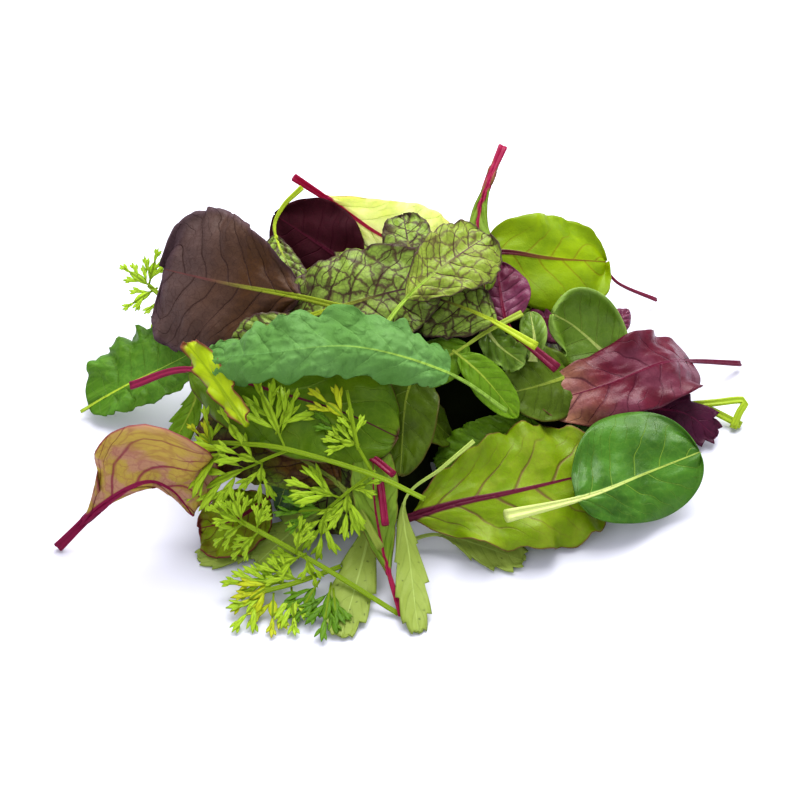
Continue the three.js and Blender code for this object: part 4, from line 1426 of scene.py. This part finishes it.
    def _masks(self) -> tuple[tuple, ...]:
        """Lists the sums that make the masks of the colours.

        Returns:
            Steps for add_steps.
        """
        return (
            ("clouds", "RISE", "cloud", 0.35, 0.65),
            ("blots", "RISE", "blot", 0.46, 0.62),
            ("far", "RISE", "share", self.tip_from, 1.0),
            ("rim", "FALL", "edge", 0.0, self.margin_mm),
            # Side veins wander a little, thin out, and fork towards the edge.
            ("wander", "SUBTRACT", "wander", 0.5),
            ("wander", "MULTIPLY", "wander", "span"),
            ("count", "MULTIPLY_ADD", "wander", 1.5, "phase"),
            ("broad", "MULTIPLY_ADD", "span", -0.75, 1.05),
            ("near", "PINGPONG", "count", 0.5),
            ("near", "DIVIDE", "near", "broad"),
            ("vein", "FALL", "near", 0.0, self.vein_width),
            ("double", "MULTIPLY", "count", 2.0),
            ("near", "PINGPONG", "double", 0.5),
            ("near", "DIVIDE", "near", "broad"),
            ("fork", "FALL", "near", 0.0, self.vein_width * 1.2),
            ("outer", "RISE", "span", 0.45, 0.7),
            ("fork", "MULTIPLY", "fork", "outer"),
            ("vein", "MAXIMUM", "vein", "fork"),
            ("fade", "RISE", "span", 0.25, 0.95),
            ("fade", "MULTIPLY_ADD", "fade", -self.vein_fade, 1.0),
            ("vein", "MULTIPLY", "vein", "fade"),
            # Small veins lie in two nets, a wide and a fine one.
            ("net", "FALL", "net_line", 0.0, self.net_width),
            ("fine", "FALL", "fine_line", 0.0, 0.2),
            ("dot", "FALL", "speck", 0.0, 0.22),
            # The rib covers all of the stalk, and the middle of the blade.
            ("size", "ABSOLUTE", "across"),
            ("broad", "MULTIPLY", "rib", self.rib_share),
            ("size", "DIVIDE", "size", "broad"),
            ("beside", "RISE", "size", 0.6, 1.0),
            ("blade", "RISE", "share", -0.9, 0.0),
            ("blade", "MULTIPLY", "beside", "blade"),
            ("ribbed", "SUBTRACT", 1.0, "blade"),
            ("rib_far", "RISE", "share", 0.1, 0.7),
        )

    def _surface(self) -> tuple[tuple, ...]:
        """Lists the sums that make the relief, in millimetres, and the roughness.

        Returns:
            Steps for add_steps.
        """
        return (
            # Blisters rise between sunk veins above, and the other way round below.
            ("pillow", "RISE", "blister", 0.0, 0.8),
            ("pillow", "SUBTRACT", 1.0, "pillow"),
            ("lines", "MULTIPLY", "vein", -self.groove_mm),
            ("lines", "MULTIPLY_ADD", "pillow", self.pillow_mm, "lines"),
            ("turned", "MULTIPLY_ADD", "under", -2.0, 1.0),
            ("height", "MULTIPLY", "lines", "turned"),
            ("height", "MULTIPLY_ADD", "grain", 0.12, "height"),
            # The wax is a little uneven, and duller along the net.
            ("wax", "MULTIPLY_ADD", "clouds", 0.14, self.roughness - 0.07),
            ("wax", "MULTIPLY_ADD", "net", 0.06, "wax"),
        )

    def _colour(self, tree: bpy.types.NodeTree, out: Sockets) -> bpy.types.NodeSocket:
        """Lays the leaf's colours over each other, from its face to its rib.

        Args:
            tree: The material's node tree.
            out: The masks by name.

        Returns:
            The colour.
        """
        rib_part = add_node(tree, "ShaderNodeMix", {
            0: out["rib_far"], 6: linear(self.rib), 7: linear(self.rib_end)}, data_type="RGBA")
        colour = linear(self.upper)
        for mask, strength, second in (
            ("under", 0.7, linear(self.under)),
            ("clouds", 1.0, linear(self.shade)),
            ("far", self.tip_strength, linear(self.tip)),
            ("blots", self.mottle_strength, linear(self.blots_and_sheen)),
            ("fine", self.net_strength * 0.35, linear(self.vein)),
            ("net", self.net_strength, linear(self.vein)),
            ("dot", self.dots, linear(self.dot)),
            ("vein", self.vein_strength, linear(self.vein)),
            ("rim", self.margin_strength, linear(self.rim_and_highlight)),
            ("ribbed", 1.0, rib_part.outputs[2]),
        ):
            if not strength:
                continue
            part = add_node(tree, "ShaderNodeMath", {0: out[mask], 1: strength}, operation="MULTIPLY")
            mix = add_node(tree, "ShaderNodeMix", {0: part.outputs[0], 6: colour, 7: second},
                           data_type="RGBA")
            colour = mix.outputs[2]
        return colour


FINISHES = {
    # Yellow-green baby chard with crimson veins: the light, bright note of the heap.
    Look.CHARD: LeafFinish(
        "chard_blade", "84a012", "78940e", "90ac1c", "742440", "641834", "6e2038", "7c2840",
        blots_and_sheen="a8b838", mottle_strength=0.3, vein_strength=0.62, vein_fade=1.0, net_strength=0.08,
        margin_mm=0.7, margin_strength=0.7, rib_share=1.5, vein_width=0.095),
    # Smooth lime chard whose colour stays close to the midrib.
    Look.CHARD_LIME: LeafFinish(
        "chard_blade_lime", "90aa04", "7e9a08", "a0ba10", "84500c", "5c1028", "80641a", "84900c",
        blots_and_sheen="a4c010", mottle_strength=0.3, vein_strength=0.4, vein_fade=1.0, vein_width=0.09,
        net_strength=0.0, margin_strength=0.5, rib_share=1.2, groove_mm=0.06),
    # Turned-up lip of the middle chard, painted a light lime: painted light on the same leaf as the deep
    # chard, where it turns up to the light.
    Look.CHARD_LIP: LeafFinish(
        "chard_blade_lip", "b0c41c", "a0b80c", "a8c018", "8ca40c", "94ac10", "94ac10", "7c2038",
        vein_strength=0.2, net_strength=0.0, margin_mm=1.2, margin_strength=0.9, groove_mm=0.05),
    # Chard in the middle of the heap, edged in dark crimson; its deeper green is partly its own and
    # partly painted shade.
    Look.CHARD_DEEP: LeafFinish(
        "chard_blade_deep", "64840f", "54740c", "5e7c14", "86a030", "9a2c52", "5a2430", "5c2030",
        blots_and_sheen="7c961a", mottle_strength=0.4, mottle_mm=12, vein_strength=0.35, net_strength=0.12,
        margin_mm=0.9, margin_strength=0.8),
    # Small chard below the arched one: yellow-green, browned in blots, with a crimson edge.
    Look.CHARD_RED_EDGE: LeafFinish(
        "chard_blade_red_edge", "8ca80c", "7c920a", "74840f", "7a2030", "7a1c38", "7a1c38", "7c1c3c",
        blots_and_sheen="6a3a18", mottle_strength=0.3, mottle_mm=7, vein_strength=0.6, net_strength=0.2,
        margin_mm=1.0, margin_strength=0.9),
    # Thin chard that the light shines through; its pale lime is lifted to near white as painted
    # backlight, on top of its glow.
    Look.CHARD_PAINTED_BACKLIGHT: LeafFinish(
        "chard_blade_painted_backlight", "f6f8c4", "eef2b0", "ecf0bc", "b8cc50", "b02c5c", "b44858", "a85c50",
        vein_strength=0.4, net_strength=0.1, margin_mm=0.5, margin_strength=0.4, glow=0.55),
    # Tan chard flushed with pink between crimson veins.
    Look.CHARD_MOTTLED: LeafFinish(
        "chard_blade_mottled", "c4ac54", "b4a048", "c0a85c", "8a2448", "8c1648", "90204c", "8c2448",
        blots_and_sheen="c0848c", mottle_strength=0.55, mottle_mm=7.0, vein_strength=0.85, vein_width=0.12,
        net_strength=0.25, net_mm=3.4, margin_mm=0.9, margin_strength=0.8, glow=0.25, rib_share=1.4),
    # Crimson channelled stalk with a narrow green blade.
    Look.CHARD_NARROW: LeafFinish(
        "chard_stalk_channelled", "8aa83c", "7c9c2c", "728c28", "7c8c34", "a82450", "98204a", "7c2438",
        vein_strength=0.2, net_strength=0.1, margin_mm=0.5, margin_strength=0.5),
    # Bright green mustard with a dark purple net and rim.
    Look.MUSTARD_GREEN: LeafFinish(
        "mustard_blade_green", "98b44c", "90a84a", "8ca850", "4c302c", "c4d83c", "4e3430", "503438",
        vein_strength=0.9, vein_fade=0.1, vein_width=0.095, net_strength=0.88, net_mm=5.2,
        net_width=0.13, margin_mm=1.6, margin_strength=0.9, blots_and_sheen="50602c", mottle_strength=0.35,
        mottle_mm=12, pillow_mm=0.5),
    # Topmost mustard leaf: the same net on a light lime ground.
    Look.MUSTARD_BRIGHT: LeafFinish(
        "mustard_blade_bright", "94ac40", "a0b448", "a8c050", "5c3a38", "a8c84c", "684640", "5c3c44",
        vein_strength=0.95, vein_fade=0.1, vein_width=0.075, net_strength=0.7, net_mm=5.0,
        net_width=0.1, margin_mm=1.0, margin_strength=0.8, blots_and_sheen="98a04c", mottle_strength=0.4,
        mottle_mm=10, pillow_mm=0.4),
    # Brown-purple face of a red mustard leaf, dusky and soft; the violet-grey towards its far edge and
    # along its rim is partly its own colour and partly a painted sheen.
    Look.MUSTARD_PURPLE: LeafFinish(
        "mustard_blade_purple", "54381e", "523a2a", "4c3424", "3e2822", "90a028", "6c4440", "5c4858",
        tip="62504e", tip_strength=0.85, vein_strength=0.75, vein_fade=0.2, net_strength=0.35,
        net_mm=2.6, net_width=0.09, margin_mm=3.0, margin_strength=0.4, pillow_mm=0.15,
        roughness=0.5, gloss=0.03, glow=0.12, rib_share=1.3),
    # Nearly black mustard blade in the shade, green between its veins.
    Look.MUSTARD_DARK: LeafFinish(
        "mustard_blade_dark", "6c4c22", "5c7020", "4c4824", "341a1c", "8a9a40", "3c2024", "38181e",
        blots_and_sheen="481e24", mottle_strength=0.6, vein_strength=0.8, net_strength=0.6, net_mm=3.6,
        glow=0.1, gloss=0.02),
    # Deep green, waxy spoon leaf with fine pale veins.
    Look.TATSOI_DEEP: LeafFinish(
        "tatsoi_blade_deep", "3c6420", "4c7c26", "6c9c4c", "90b040", "ccd884", "a8bc58",
        vein_strength=0.6, vein_fade=0.5, vein_width=0.045, net_strength=0.06, net_mm=3.4,
        pillow_mm=0.2, roughness=0.34, gloss=0.12, glow=0.1, rib_share=1.2),
    # Spoon leaf seen into its cup, its green darkened a little as painted shade inside the cup, with a
    # light rim that is a painted highlight.
    Look.TATSOI_PALE: LeafFinish(
        "tatsoi_blade_pale", "5e7c22", "6e8e2e", "84a046", "a0b458", "c4d080", "b0c064", "a8c868",
        vein_strength=0.45, vein_width=0.05, net_strength=0.08, margin_mm=2.0, margin_strength=0.6,
        roughness=0.36, gloss=0.15),
    # Matte blue-green kale whose veins show as relief more than as colour.
    Look.KALE_BLUE: LeafFinish(
        "kale_blade_blue", "689450", "5c8842", "6c9850", "78a858", "98bc50", "6c9c54",
        vein_strength=0.35, vein_width=0.08, net_strength=0.1, net_mm=2.9, pillow_mm=0.8,
        roughness=0.6, gloss=0.0, glow=0.12, groove_mm=0.12),
    # Mid green blistered leaf with light veins.
    Look.KALE_GREEN: LeafFinish(
        "kale_blade_green", "4e7816", "5a882c", "86b054", "84ac40", "b4cc40", "9cbc50",
        vein_strength=0.5, vein_width=0.05, net_strength=0.2, net_mm=3.2, pillow_mm=0.4,
        roughness=0.48, gloss=0.06, glow=0.15),
    # Pale green toothed leaf with small dark specks.
    Look.MIZUNA: LeafFinish(
        "mizuna_blade", "a2b456", "9aac4e", "acc060", "a8bc60", "b4c868", "b0c468", "5c6a34",
        vein_strength=0.3, vein_width=0.05, net_strength=0.08, margin_strength=0.2, dots=0.75,
        roughness=0.45, groove_mm=0.1),
    # Dark purple pointed leaf.
    Look.MIZUNA_PURPLE: LeafFinish(
        "mizuna_blade_purple", "54203c", "481a30", "5c2840", "6c2444", "7a2448", "6c2444",
        net_strength=0.2, roughness=0.4),
    # Plain bright green blade.
    Look.SPINACH: LeafFinish(
        "spinach_blade", "78a01e", "6a921a", "80a828", "98b440", "b0c44c", "a0b83c",
        vein_strength=0.4, vein_width=0.05, net_strength=0.12),
    # Olive green blade that hangs in the shade.
    Look.OLIVE: LeafFinish(
        "spinach_blade_olive", "5c7418", "4c6010", "6c822c", "809440", "94a43c", "8a9c3c", "6a2c2c",
        vein_strength=0.4, vein_width=0.05, net_strength=0.1, margin_strength=0.4),
    # Mauve blade with a glossy surface.
    Look.BEET: LeafFinish(
        "beet_blade", "7c3c58", "64263c", "7c3c54", "541430", "7c1c3c", "701a38",
        blots_and_sheen="8a5a6c", mottle_strength=0.3, mottle_mm=11, vein_strength=0.6, net_strength=0.2,
        roughness=0.36, gloss=0.15, glow=0.12),
    # Maroon blade at the right: mauve blots near its stalk, partly its own bloom and partly a painted
    # sheen, olive pink at its tip.
    Look.BEET_MAROON: LeafFinish(
        "beet_blade_maroon", "6a1c30", "5a1828", "703040", "500c28", "6c1434", "6a1432", "5c1c30",
        tip="c89870", tip_strength=0.7, tip_from=0.55, blots_and_sheen="8c5468", mottle_strength=0.3,
        mottle_mm=13, vein_strength=0.6, vein_width=0.09, net_strength=0.2, net_mm=3.4,
        margin_mm=1.2, margin_strength=0.4, pillow_mm=0.2, roughness=0.34, gloss=0.2, glow=0.12),
    # Burgundy blade, nearly black in the shade.
    Look.BURGUNDY: LeafFinish(
        "beet_blade_burgundy", "46101e", "3a0c18", "4a1420", "50142a", "5c1430", "54142a",
        net_strength=0.15, glow=0.3, gloss=0.0, roughness=0.65, vein_strength=0.5),
    # Juicy crimson stem.
    Look.CRIMSON_STEM: LeafFinish(
        "beet_stem_crimson", "941444", "84103c", "8c1040", "6a0c30", "8c1040", "8c1040",
        vein_strength=0.0, net_strength=0.0, roughness=0.3, gloss=0.3, glow=0.1),
    # Juicy lime stem.
    Look.LIME_STEM: LeafFinish(
        "lime_stem", "a8c038", "9cb430", "acc440", "98b02c", "b4cc38", "b4cc38",
        vein_strength=0.0, net_strength=0.0, roughness=0.35, gloss=0.2, glow=0.2),
    # Yellow-green feathery fingers, thin enough to glow.
    Look.SPRIG: LeafFinish(
        "sprig_lobe", "c0dc40", "b0d034", "c4e04c", "a4c438", "98b428", "90b020", "6c8a24",
        vein_strength=0.3, net_strength=0.0, margin_mm=0.2, margin_strength=0.3, glow=0.35),
    # Feathery fingers that have turned yellow.
    Look.SPRIG_YELLOW: LeafFinish(
        "sprig_lobe_yellow", "ccd82c", "bccc20", "ccd028", "c4c458", "a8c030", "c0c828", "8a7a2c",
        tip="c8a848", tip_strength=0.15, vein_strength=0.2, net_strength=0.0, margin_mm=0.2,
        margin_strength=0.5, glow=0.3),
    # Feathery fingers on the heap's shaded side, their green darkened as painted shade.
    Look.SPRIG_SHADE: LeafFinish(
        "sprig_lobe_shade", "74a024", "649020", "507c14", "5c8420", "5c8420", "5c8420",
        vein_strength=0.3, net_strength=0.0, glow=0.3),
}


@dataclass(frozen=True)
class CoreFinish:
    """Crumpled inner leaves in the depth of the heap, coloured near black: painted shade that keeps the
    gaps dark and green.

    Attributes:
        name: Name of the material.
        green: Its lighter colour.
        dark: Its darker colour.
    """

    name: str = "inner_leaf_painted_shade"
    # Both greens are near black: painted shade of the depth between the leaves.
    green: str = "1e240a"
    dark: str = "141606"

    def build(self) -> bpy.types.Material:
        """Makes the material.

        Returns:
            The material.
        """
        material = new_material(self.name)
        tree = material.node_tree
        place = add_node(tree, "ShaderNodeTexCoord")
        # The folds are about 11 mm wide.
        folds = add_node(tree, "ShaderNodeTexNoise", {
            "Vector": place.outputs["Object"], "Scale": 90.0, "Detail": 6.0}).outputs[0]
        mix = add_node(tree, "ShaderNodeMix", {0: folds, 6: linear(self.green), 7: linear(self.dark)},
                       data_type="RGBA")
        bump = add_node(tree, "ShaderNodeBump", {"Strength": 0.8, "Distance": 2 * MM, "Height": folds})
        skin = add_node(tree, "ShaderNodeBsdfPrincipled", {
            "Base Color": mix.outputs[2], "Roughness": 0.9, "Specular IOR Level": 0.05,
            "Normal": bump.outputs[0]})
        add_node(tree, "ShaderNodeOutputMaterial", {"Surface": skin.outputs[0]})
        return material


@dataclass(frozen=True)
class FloorFinish:
    """Plain white paper: matte, a little cool, so that the shadows stay soft and clean.

    Attributes:
        name: Name of the material.
        white: Its colour.
    """

    name: str = "paper_floor"
    white: str = "dedee8"

    def build(self) -> bpy.types.Material:
        """Makes the material.

        Returns:
            The material.
        """
        material = new_material(self.name)
        tree = material.node_tree
        skin = add_node(tree, "ShaderNodeBsdfPrincipled", {
            "Base Color": linear(self.white), "Roughness": 0.9})
        add_node(tree, "ShaderNodeOutputMaterial", {"Surface": skin.outputs[0]})
        return material


@dataclass(frozen=True)
class Core:
    """Crumpled mounds of inner leaves that carry the heap.

    Attributes:
        name: Name of the piece.
        rows: Steps from the floor to the top of a mound.
        columns: Steps round a mound.
        folds: Depth of the broad folds as a share of the radii.
        creases: Depth of the narrow folds as a share of the radii.
    """

    name: str = "inner_leaves"
    rows: int = 28
    columns: int = 56
    folds: float = 0.05
    creases: float = 0.03

    def build(self) -> bpy.types.Object:
        """Makes the piece.

        Returns:
            The new object, linked to the scene.
        """
        points, faces = [], []
        for mound in MOUNDS:
            faces += self._faces(len(points))
            points += self._points(mound)
        mesh = bpy.data.meshes.new(self.name)
        mesh.from_pydata(points, [], faces)
        mesh.materials.append(CoreFinish().build())
        mesh.shade_smooth()
        piece = bpy.data.objects.new(self.name, mesh)
        bpy.context.scene.collection.objects.link(piece)
        return piece

    def _points(self, mound: Mound) -> list[Point]:
        """Places the points of one mound.

        Args:
            mound: The mound.

        Returns:
            Points in metres, row by row from the floor to the top.
        """
        points = []
        for i in range(self.rows + 1):
            lift = math.pi / 2 * i / self.rows
            for j in range(self.columns):
                turn = 2 * math.pi * j / self.columns
                x, y = math.cos(lift) * math.cos(turn), math.cos(lift) * math.sin(turn)
                z = math.sin(lift)
                crumple = 1 + self.folds * math.sin(7 * x + 3) * math.sin(9 * y + 1) \
                    + self.creases * math.sin(23 * x + 11 * z) * math.sin(19 * y + 5)
                points.append(((mound.centre[0] + x * mound.radii[0] * crumple - HEAP_CENTRE[0]) * MM,
                               (mound.centre[1] + y * mound.radii[1] * crumple - HEAP_CENTRE[1]) * MM,
                               max(z * mound.radii[2] * crumple, FLOOR_CLEARANCE) * MM))
        return points

    def _faces(self, start: int) -> list[tuple[int, ...]]:
        """Lists the faces of one mound.

        Args:
            start: Number of its first point.

        Returns:
            Point numbers of its squares and of its bottom.
        """
        faces = []
        for i in range(self.rows):
            for j in range(self.columns):
                a, b = start + i * self.columns + j, start + i * self.columns + (j + 1) % self.columns
                faces.append((a, b, b + self.columns, a + self.columns))
        faces.append(tuple(start + j for j in reversed(range(self.columns))))
        return faces


@dataclass
class Heap:
    """The whole heap: its pieces, one for each kind of leaf.

    Attributes:
        leaf_seed: Start of the leaves' draws.
        sprig_seed: Start of the sprigs' draws.
        ring_middle: Share of the reach at which a ring leaf arches.
        ring_neck: Share of bare stalk of a ring leaf.
        ring_faces: How far the upper face of a ring leaf looks outwards and upwards.
    """

    leaf_seed: int = 410
    sprig_seed: int = 77
    ring_middle: float = 0.65
    ring_neck: float = 0.08
    ring_faces: tuple[float, float] = (0.6, 0.8)

    def build(self) -> list[bpy.types.Object]:
        """Grows every leaf and makes the pieces.

        Returns:
            The pieces.
        """
        grower = LeafGrower(self.leaf_seed)
        sprigs = SprigGrower(self.sprig_seed)
        materials = {look: finish.build() for look, finish in FINISHES.items()}
        groups = [(group, [leaf for leaf in LEAVES if leaf.kind is group.kind]) for group in GROUPS]
        groups.append((SPRIG_GROUP, [part for sprig in SPRIGS for part in sprigs.leaves(sprig)]))
        groups.append((RING_GROUP, self._ring_leaves()))
        pieces = []
        for group, leaves in groups:
            piece = self._piece(group.name, leaves, grower, materials)
            pieces.append(piece)
        core = Core().build()
        pieces.append(core)
        for piece in pieces:
            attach(piece, "root")
            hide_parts(HEAP_NODE)
        return pieces

    def _piece(self, name: str, leaves: list[Leaf], grower: LeafGrower,
               materials: dict[Look, bpy.types.Material]) -> bpy.types.Object:
        """Grows one group of leaves into one piece.

        Args:
            name: Name of the piece.
            leaves: Its leaves.
            grower: What grows them.
            materials: The material of each finish.

        Returns:
            The piece.
        """
        looks = list(dict.fromkeys(leaf.look for leaf in leaves))
        sheets = Sheets()
        for leaf in leaves:
            points, faces, maps = grower.grow(leaf)
            sheets.add(points, faces, looks.index(leaf.look), maps)
        return sheets.to_object(name, [materials[look] for look in looks])

    def _ring_leaves(self) -> list[Leaf]:
        """Lays leaves round the core by rule, for the back and the inside.

        Returns:
            The leaves.
        """
        outwards, upwards = self.ring_faces
        leaves = []
        for tier, ring in enumerate(RINGS):
            middle = (ring.foot_height + ring.tip_height) / 2 + ring.bow
            spots = ((ring.foot_reach, ring.foot_height), (self.ring_middle, middle),
                     (1.0, ring.tip_height))
            for k in range(ring.count):
                angle = math.radians(ring.start + (ring.end - ring.start) * k / (ring.count - 1))
                x, y = math.cos(angle), math.sin(angle)
                kind, look = RING_KINDS[(k * 3 + tier) % len(RING_KINDS)]
                spine = tuple((
                    ring.centre[0] + x * ring.radii[0] * share * ring.reach,
                    ring.centre[1] + y * ring.radii[1] * share * ring.reach,
                    height,
                ) for share, height in spots)
                leaves.append(Leaf(f"ring_{tier}_{k}", kind, look, spine,
                                   halves=(ring.half_width, ring.half_width),
                                   faces=(x * outwards, y * outwards, upwards), neck=self.ring_neck,
                                   detail=HIDDEN_LEAF_DETAIL))
        return leaves


@dataclass(frozen=True)
class Lamp:
    """A soft square light that looks at the heap; its place and its side are in metres."""

    name: str
    place: Point
    side: float
    watts: float


LAMPS = (
    Lamp("key", (0.05, 0.4, 0.88), 0.8, 9.8),
    Lamp("back", (0.3, 0.7, 0.7), 0.5, 3.5),
    Lamp("front_fill", (-0.4, -0.9, 0.6), 0.9, 2.6),
)


@dataclass(frozen=True)
class Studio:
    """Floor, lights and camera.

    Attributes:
        elevation: Degrees by which the camera looks down.
        distance_mm: Distance of the camera from its target.
        target: What the camera looks at, in millimetres.
        lens_mm: Focal length.
        sensor_mm: Width of the sensor.
        floor_reach: How far the floor runs from its middle to each side, in metres.
        tent: Colour of the surroundings.
        tent_strength: Brightness of the surroundings.
    """

    elevation: float = 40.0
    distance_mm: float = 630.0
    target: Point = (0.0, 0.0, 20.0)
    lens_mm: float = 85.0
    sensor_mm: float = 36.0
    floor_reach: float = 8.0
    tent: str = "f4f5ff"
    tent_strength: float = 0.7

    def build(self) -> None:
        """Sets up the floor, the light and the view."""
        self._floor()
        self._world()
        for lamp in LAMPS:
            self._light(lamp)
        self._camera()
        bpy.context.scene.view_settings.view_transform = "Standard"
        bpy.context.scene.view_settings.look = "Medium High Contrast"

    def _floor(self) -> None:
        """Lays a large plain floor just under the heap."""
        mesh = bpy.data.meshes.new("floor")
        far = self.floor_reach
        corners = [(-far, -far, 0), (far, -far, 0), (far, far, 0), (-far, far, 0)]
        mesh.from_pydata(corners, [], [(0, 1, 2, 3)])
        mesh.materials.append(FloorFinish().build())
        floor = bpy.data.objects.new("floor", mesh)
        bpy.context.scene.collection.objects.link(floor)

    def _world(self) -> None:
        """Sets up even white surroundings."""
        world = bpy.data.worlds.new("white_tent")
        bpy.context.scene.world = world
        world.use_nodes = True
        background = world.node_tree.nodes["Background"]
        background.inputs[0].default_value = linear(self.tent)
        background.inputs[1].default_value = self.tent_strength

    def _light(self, lamp: Lamp) -> None:
        """Hangs one light.

        Args:
            lamp: The light.
        """
        data = bpy.data.lights.new(lamp.name, "AREA")
        data.size = lamp.side
        data.energy = lamp.watts
        light = bpy.data.objects.new(lamp.name, data)
        light.location = lamp.place
        light.rotation_euler = (-Vector(lamp.place)).to_track_quat("-Z", "Y").to_euler()
        bpy.context.scene.collection.objects.link(light)

    def _camera(self) -> None:
        """Sets the camera at the photograph's angle."""
        tilt = math.radians(self.elevation)
        ahead = Vector((0, math.cos(tilt), -math.sin(tilt)))
        target = Vector(self.target) - Vector(HEAP_CENTRE)
        data = bpy.data.cameras.new("camera")
        data.lens = self.lens_mm
        data.sensor_width = self.sensor_mm
        data.sensor_fit = "HORIZONTAL"
        camera = bpy.data.objects.new("camera", data)
        camera.location = (target - ahead * self.distance_mm) * MM
        camera.rotation_euler = ahead.to_track_quat("-Z", "Y").to_euler()
        bpy.context.scene.collection.objects.link(camera)
        bpy.context.scene.camera = camera


def main() -> None:
    """Builds the heap and the studio, and reports."""
    logging.basicConfig(level=logging.INFO)
    Studio().build()
    pieces = Heap().build()
    logger.info("heap of %d pieces", len(pieces))


if __name__ == "__main__":
    main()
